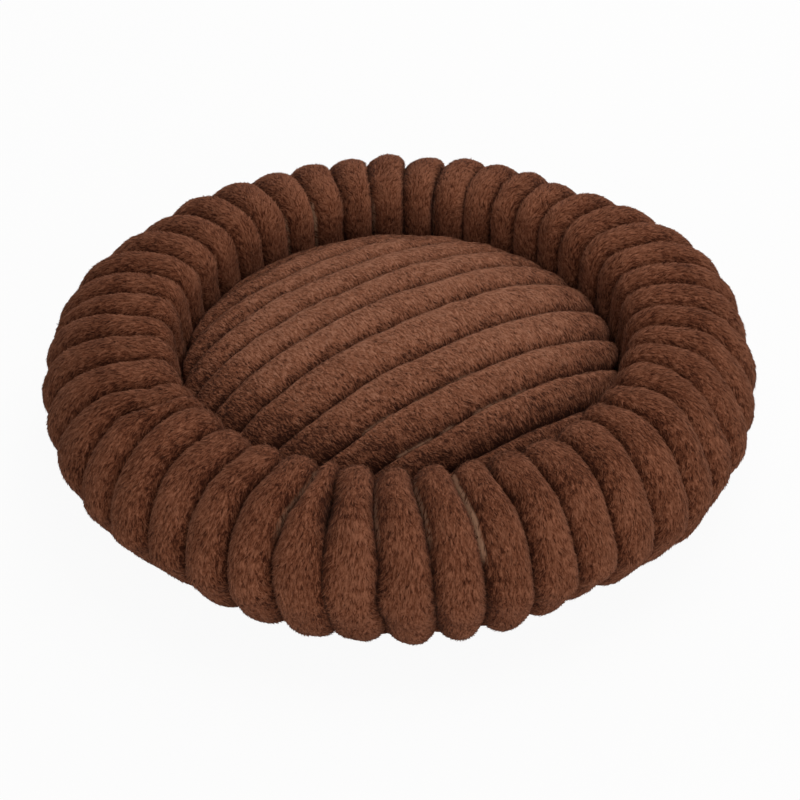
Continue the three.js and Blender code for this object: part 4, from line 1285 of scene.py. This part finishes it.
class PLUSHBED_OT_ring_inside(bpy.types.Operator):
    """Makes the ring's stuffing, its woven base with grip dots, the nest's floor and its wadding"""
    bl_idname = "plushbed.ring_inside"
    bl_label = "Ring inside"

    def execute(self, context):
        fibre = grained_material(
            "polyester_fibre", (0.62, 0.6, 0.55), (0.86, 0.85, 0.81),
            {"detail": 5, "roughness": 0.65}, (0.8, 0.002), stretch=(300, 300, 90),
            roughness=0.9, specular=0.2, sheen=0.3)
        stuffing = ring_stuffing(context.scene.plushbed_ring)
        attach(stuffing, "ring")
        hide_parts("ring_fill")

        uneven = Noise(81)

        def lumpy(ring):
            x, y = ring[..., 0], ring[..., 1]
            inside = smooth((198 - np.hypot(x, y)) / 20) * (ring[..., 2] > 5)
            ring[..., 2] -= inside * (0.6 + 0.6 * uneven(x / 17, y / 17))
            return ring

        reach = np.linspace(0, FLOOR_RADIUS - 1.5, 30)
        wadding = turned("wadding_pad", [(r, 1.6) for r in reach]
                         + [(FLOOR_RADIUS - 0.4, 3.5), (FLOOR_RADIUS - 0.4, 7.5)]
                         + [(r, 9.3) for r in reach[::-1]], ROUND_SEGMENTS, lumpy)
        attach(wadding, "ring")
        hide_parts("floor_wadding")
        for piece in (stuffing, wadding):
            piece.data.materials.append(fibre)

        lining = turned("nest_cloth", [(r, 9.85) for r in np.linspace(0, LINING_RADIUS, 26)]
                        + [(r, 10.75) for r in np.linspace(LINING_RADIUS, 0, 26)],
                        ROUND_SEGMENTS)
        lining.data.materials.append(woven_material("lining_cloth", (0.14, 0.06, 0.035),
                                                    (0.07, 0.026, 0.015), 1400))
        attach(lining, "ring")
        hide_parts("nest_lining")

        base = turned("base_cloth", [(r, 0.45) for r in np.linspace(0, BASE_SHOWN, 30)]
                      + [(BASE_SHOWN + 0.3, 0.8)]
                      + [(r, 1.15) for r in np.linspace(BASE_SHOWN, 0, 30)], BASE_SEGMENTS)
        base.data.materials.append(woven_material("base_cloth", (0.06, 0.03, 0.02),
                                                  (0.025, 0.012, 0.008), 900))
        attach(base, "ring")
        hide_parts("base_panel")

        dots = []
        reach = int(BASE_SHOWN // DOT_PITCH) + 2
        for j in range(-reach, reach + 1):
            for i in range(-reach, reach + 1):
                x, y = (i + 0.5 * (j % 2)) * DOT_PITCH, j * DOT_PITCH * math.sqrt(3) / 2
                if math.hypot(x, y) < BASE_SHOWN - 14:
                    dots.append((x, y))
        dots = np.array(dots)
        turn = np.arange(8) * math.pi / 4
        shape = np.concatenate([around(r, turn, z)
                                for r, z in ((2.1, 0.5), (1.9, 0.18), (1.2, 0.02))])
        walls = grid_faces((3, 8), closed_cols=True)[:, [0, 3, 2, 1]]
        c = np.arange(8)
        start = (24 * np.arange(len(dots)))[:, None]
        points = np.concatenate([dots, np.zeros((len(dots), 1))], -1)[:, None, :] + shape
        grips = make_object("grip_dots", points.reshape(-1, 3), [
            (start[:, :, None] + walls).reshape(-1, 4), start + 7 - c, start + 16 + c[::-1]])
        grips.data.materials.append(grained_material(
            "grip_rubber", (0.02, 0.012, 0.01), (0.05, 0.035, 0.028),
            {"scale": 500, "detail": 4}, (0.3, 0.0002), roughness=0.6, specular=0.35))
        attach(grips, "ring")
        return {"FINISHED"}


class PLUSHBED_OT_cushion_inside(bpy.types.Operator):
    """Makes the cushion's filling and its woven underside with the slot for the zip"""
    bl_idname = "plushbed.cushion_inside"
    bl_label = "Cushion inside"

    def execute(self, context):
        distance = np.linspace(0, DOME.length - TAPE_EDGE - 6, 44)
        r, z = DOME.at(distance, CUSHION_PILE + 1.5)
        top = [(a, b) for a, b in zip(r, z) if a > 0.5]
        under = np.linspace(TAPE_EDGE + 6, UNDERSIDE.length, 20)
        r, z = UNDERSIDE.at(under, 1.2)
        low = [(a, max(b, FILLING_FOOT)) for a, b in zip(r, z)]
        floor = [(a, FILLING_FOOT) for a in np.linspace(0, low[-1][0], 18)[:-1]]
        lumps = Noise(82)

        def lumpy(ring):
            x, y, z = np.moveaxis(ring, -1, 0)
            sink = (0.8 + 0.8 * lumps(x / 16 + z / 21, y / 16)) * smooth((z - 14) / 20)
            return ring * np.stack([1 - sink / 170, 1 - sink / 170, 1 - sink / 170 * (z > 60)], -1)

        filling = turned("cushion_filling", floor + low[::-1] + top[::-1] + [(0, top[0][1])],
                         ROUND_SEGMENTS, lumpy)
        filling.data.materials.append(bpy.data.materials["polyester_fibre"])
        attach(filling, "cushion")
        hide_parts("cushion_fill")

        share = np.linspace(0, 1, 25)
        turn = np.arange(UNDERSIDE_SEGMENTS) * 2 * math.pi / UNDERSIDE_SEGMENTS
        start = hem_of(turn)
        way = start + (UNDERSIDE.length - start) * share[:, None]
        gather = smooth((way - 14) / 18) * (1 - smooth((way - UNDERSIDE.length + 24) / 20))
        creased = gather * (0.8 + 0.9 * Noise(83)(turn * 24 / math.pi + 0 * way, way / 19)
                            + 0.5 * Noise(84)(turn * 60 / math.pi + 0 * way, way / 14))
        layers = []
        for inset in (-1.05, -0.15):
            r, z = UNDERSIDE.at(way, inset - creased)
            side = around(r, turn, np.maximum(z, CUSHION_FOOT + 0.05))
            flat = UNDERSIDE_FLAT_RADIUS * np.linspace(1, 0, 13)[1:-1, None]
            layers.append(np.concatenate([side, around(flat, turn, side[-1, :, 2])]))
        outer, inner = layers
        underside = capped("underside_cloth", np.concatenate([outer[::-1], inner]),
                           outer[-1, 0, 2], inner[-1, 0, 2])
        underside.data.materials.append(bpy.data.materials["lining_cloth"])
        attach(underside, "cushion")
        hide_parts("cushion_underside")
        return {"FINISHED"}


class PLUSHBED_OT_zip_coils(bpy.types.Operator):
    """Makes the zip's two wound coils, tooth by tooth"""
    bl_idname = "plushbed.zip_coils"
    bl_label = "Zip coils"

    def execute(self, context):
        metal = grained_material(
            "enamelled_metal", (0.05, 0.022, 0.014), (0.1, 0.05, 0.034),
            {"scale": 900, "detail": 4}, (0.2, 0.0001), roughness=0.4, specular=0.5, metallic=0.15)
        half = ZIP_HALF_LENGTH / ZIP_R
        turns = round(2 * ZIP_HALF_LENGTH / TOOTH_PITCH)
        phase = np.linspace(0, turns, COIL_STEPS * turns + 1)
        for label, side in (("upper", 1), ("lower", -1)):
            across = side * (COIL_SIDE - COIL_HALF_WIDTH * np.cos(2 * math.pi * phase))
            deep = -ZIP_DEPTH + COIL_HALF_DEPTH * np.sin(2 * math.pi * phase)
            angle = math.pi / 2 + (-half + (phase + 0.25 * side) / turns * 2 * half)
            r, z = seam_plane(across, deep)
            places = around(r, angle, z) * MM
            wire = bpy.data.curves.new(f"coil_{label}", "CURVE")
            wire.dimensions = "3D"
            wire.bevel_depth, wire.bevel_resolution = COIL_WIRE * MM, 1
            wire.use_fill_caps = True
            spline = wire.splines.new("POLY")
            spline.points.add(len(places) - 1)
            spline.points.foreach_set("co", np.concatenate(
                [places, np.ones((len(places), 1))], -1).ravel())
            coil = bpy.data.objects.new(f"coil_{label}", wire)
            context.scene.collection.objects.link(coil)
            bpy.ops.object.select_all(action="DESELECT")
            coil.select_set(True)
            context.view_layer.objects.active = coil
            bpy.ops.object.convert(target="MESH")
            coil = context.object
            coil.data.materials.clear()
            coil.data.materials.append(metal)
            coil.data.polygons.foreach_set("use_smooth", [True] * len(coil.data.polygons))
            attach(coil, "cushion")
            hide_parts(f"zip_coil_{label}")
            coil.select_set(False)
        return {"FINISHED"}


class PLUSHBED_OT_finishes(bpy.types.Operator):
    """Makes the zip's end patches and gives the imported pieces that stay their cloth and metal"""
    bl_idname = "plushbed.finishes"
    bl_label = "Finishes"

    def execute(self, context):
        tape = woven_material("tape_cloth", (0.09, 0.032, 0.02), (0.045, 0.015, 0.009), 2500)
        for label, side in (("closed", 1), ("open", -1)):
            way = np.sort(side * np.linspace(*ZIP_PATCH, 24)) / ZIP_R
            up, out = np.array([(-2.8, -3.3), (2.8, -3.3), (2.8, -3.0), (-2.8, -3.0)]).T
            r, z = seam_plane(up, out)
            angle = math.pi / 2 + way[:, None]
            places = around(r, angle, z)
            sides = grid_faces((len(way), 4), closed_cols=True)
            last = 4 * (len(way) - 1)
            ends = np.array([[3, 2, 1, 0], [last, last + 1, last + 2, last + 3]])
            patch = make_object(f"zip_end_{label}", places.reshape(-1, 3),
                                [np.concatenate([sides, ends])])
            patch.data.materials.append(tape)
            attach(patch, "cushion")
        metal = bpy.data.materials["enamelled_metal"]
        finishes = {
            "zip_tape_upper": tape, "zip_tape_lower": tape, "zip_top_stop_upper": metal,
            "zip_top_stop_lower": metal, "zip_bottom_stop": metal, "zip_slider": metal,
            "zip_pull": metal,
        }
        for node, finish in finishes.items():
            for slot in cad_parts[node].material_slots:
                slot.material = finish
        return {"FINISHED"}


class PLUSHBED_PT_panel(bpy.types.Panel):
    """The plush bed's pieces and settings"""
    bl_idname = "PLUSHBED_PT_panel"
    bl_label = "Plush Bed"
    bl_space_type = "VIEW_3D"
    bl_region_type = "UI"
    bl_category = "Plush Bed"

    def draw(self, context):
        for label, settings in (("Ring", context.scene.plushbed_ring),
                                ("Cushion", context.scene.plushbed_cushion),
                                ("Stage", context.scene.plushbed_stage)):
            box = self.layout.box()
            box.label(text=label)
            for name in settings.__annotations__:
                box.prop(settings, name)
        for operator in OPERATORS:
            self.layout.operator(operator.bl_idname)


GROUPS = {"plushbed_ring": PlushBedRing, "plushbed_cushion": PlushBedCushion,
          "plushbed_stage": PlushBedStage}
OPERATORS = [PLUSHBED_OT_stage, PLUSHBED_OT_ring_covers, PLUSHBED_OT_cushion_cover,
             PLUSHBED_OT_ring_inside, PLUSHBED_OT_cushion_inside, PLUSHBED_OT_zip_coils,
             PLUSHBED_OT_finishes]


def register():
    for cls in [*GROUPS.values(), *OPERATORS, PLUSHBED_PT_panel]:
        bpy.utils.register_class(cls)
    for name, cls in GROUPS.items():
        setattr(bpy.types.Scene, name, bpy.props.PointerProperty(type=cls))


def unregister():
    for name in GROUPS:
        delattr(bpy.types.Scene, name)
    for cls in reversed([*GROUPS.values(), *OPERATORS, PLUSHBED_PT_panel]):
        bpy.utils.unregister_class(cls)


def main():
    register()
    bpy.ops.object.select_all(action="DESELECT")
    pile_group()
    weave_group()
    bpy.ops.plushbed.stage()
    bpy.ops.plushbed.ring_covers()
    bpy.ops.plushbed.cushion_cover()
    bpy.ops.plushbed.ring_inside()
    bpy.ops.plushbed.cushion_inside()
    bpy.ops.plushbed.zip_coils()
    bpy.ops.plushbed.finishes()


if __name__ == "__main__":
    main()
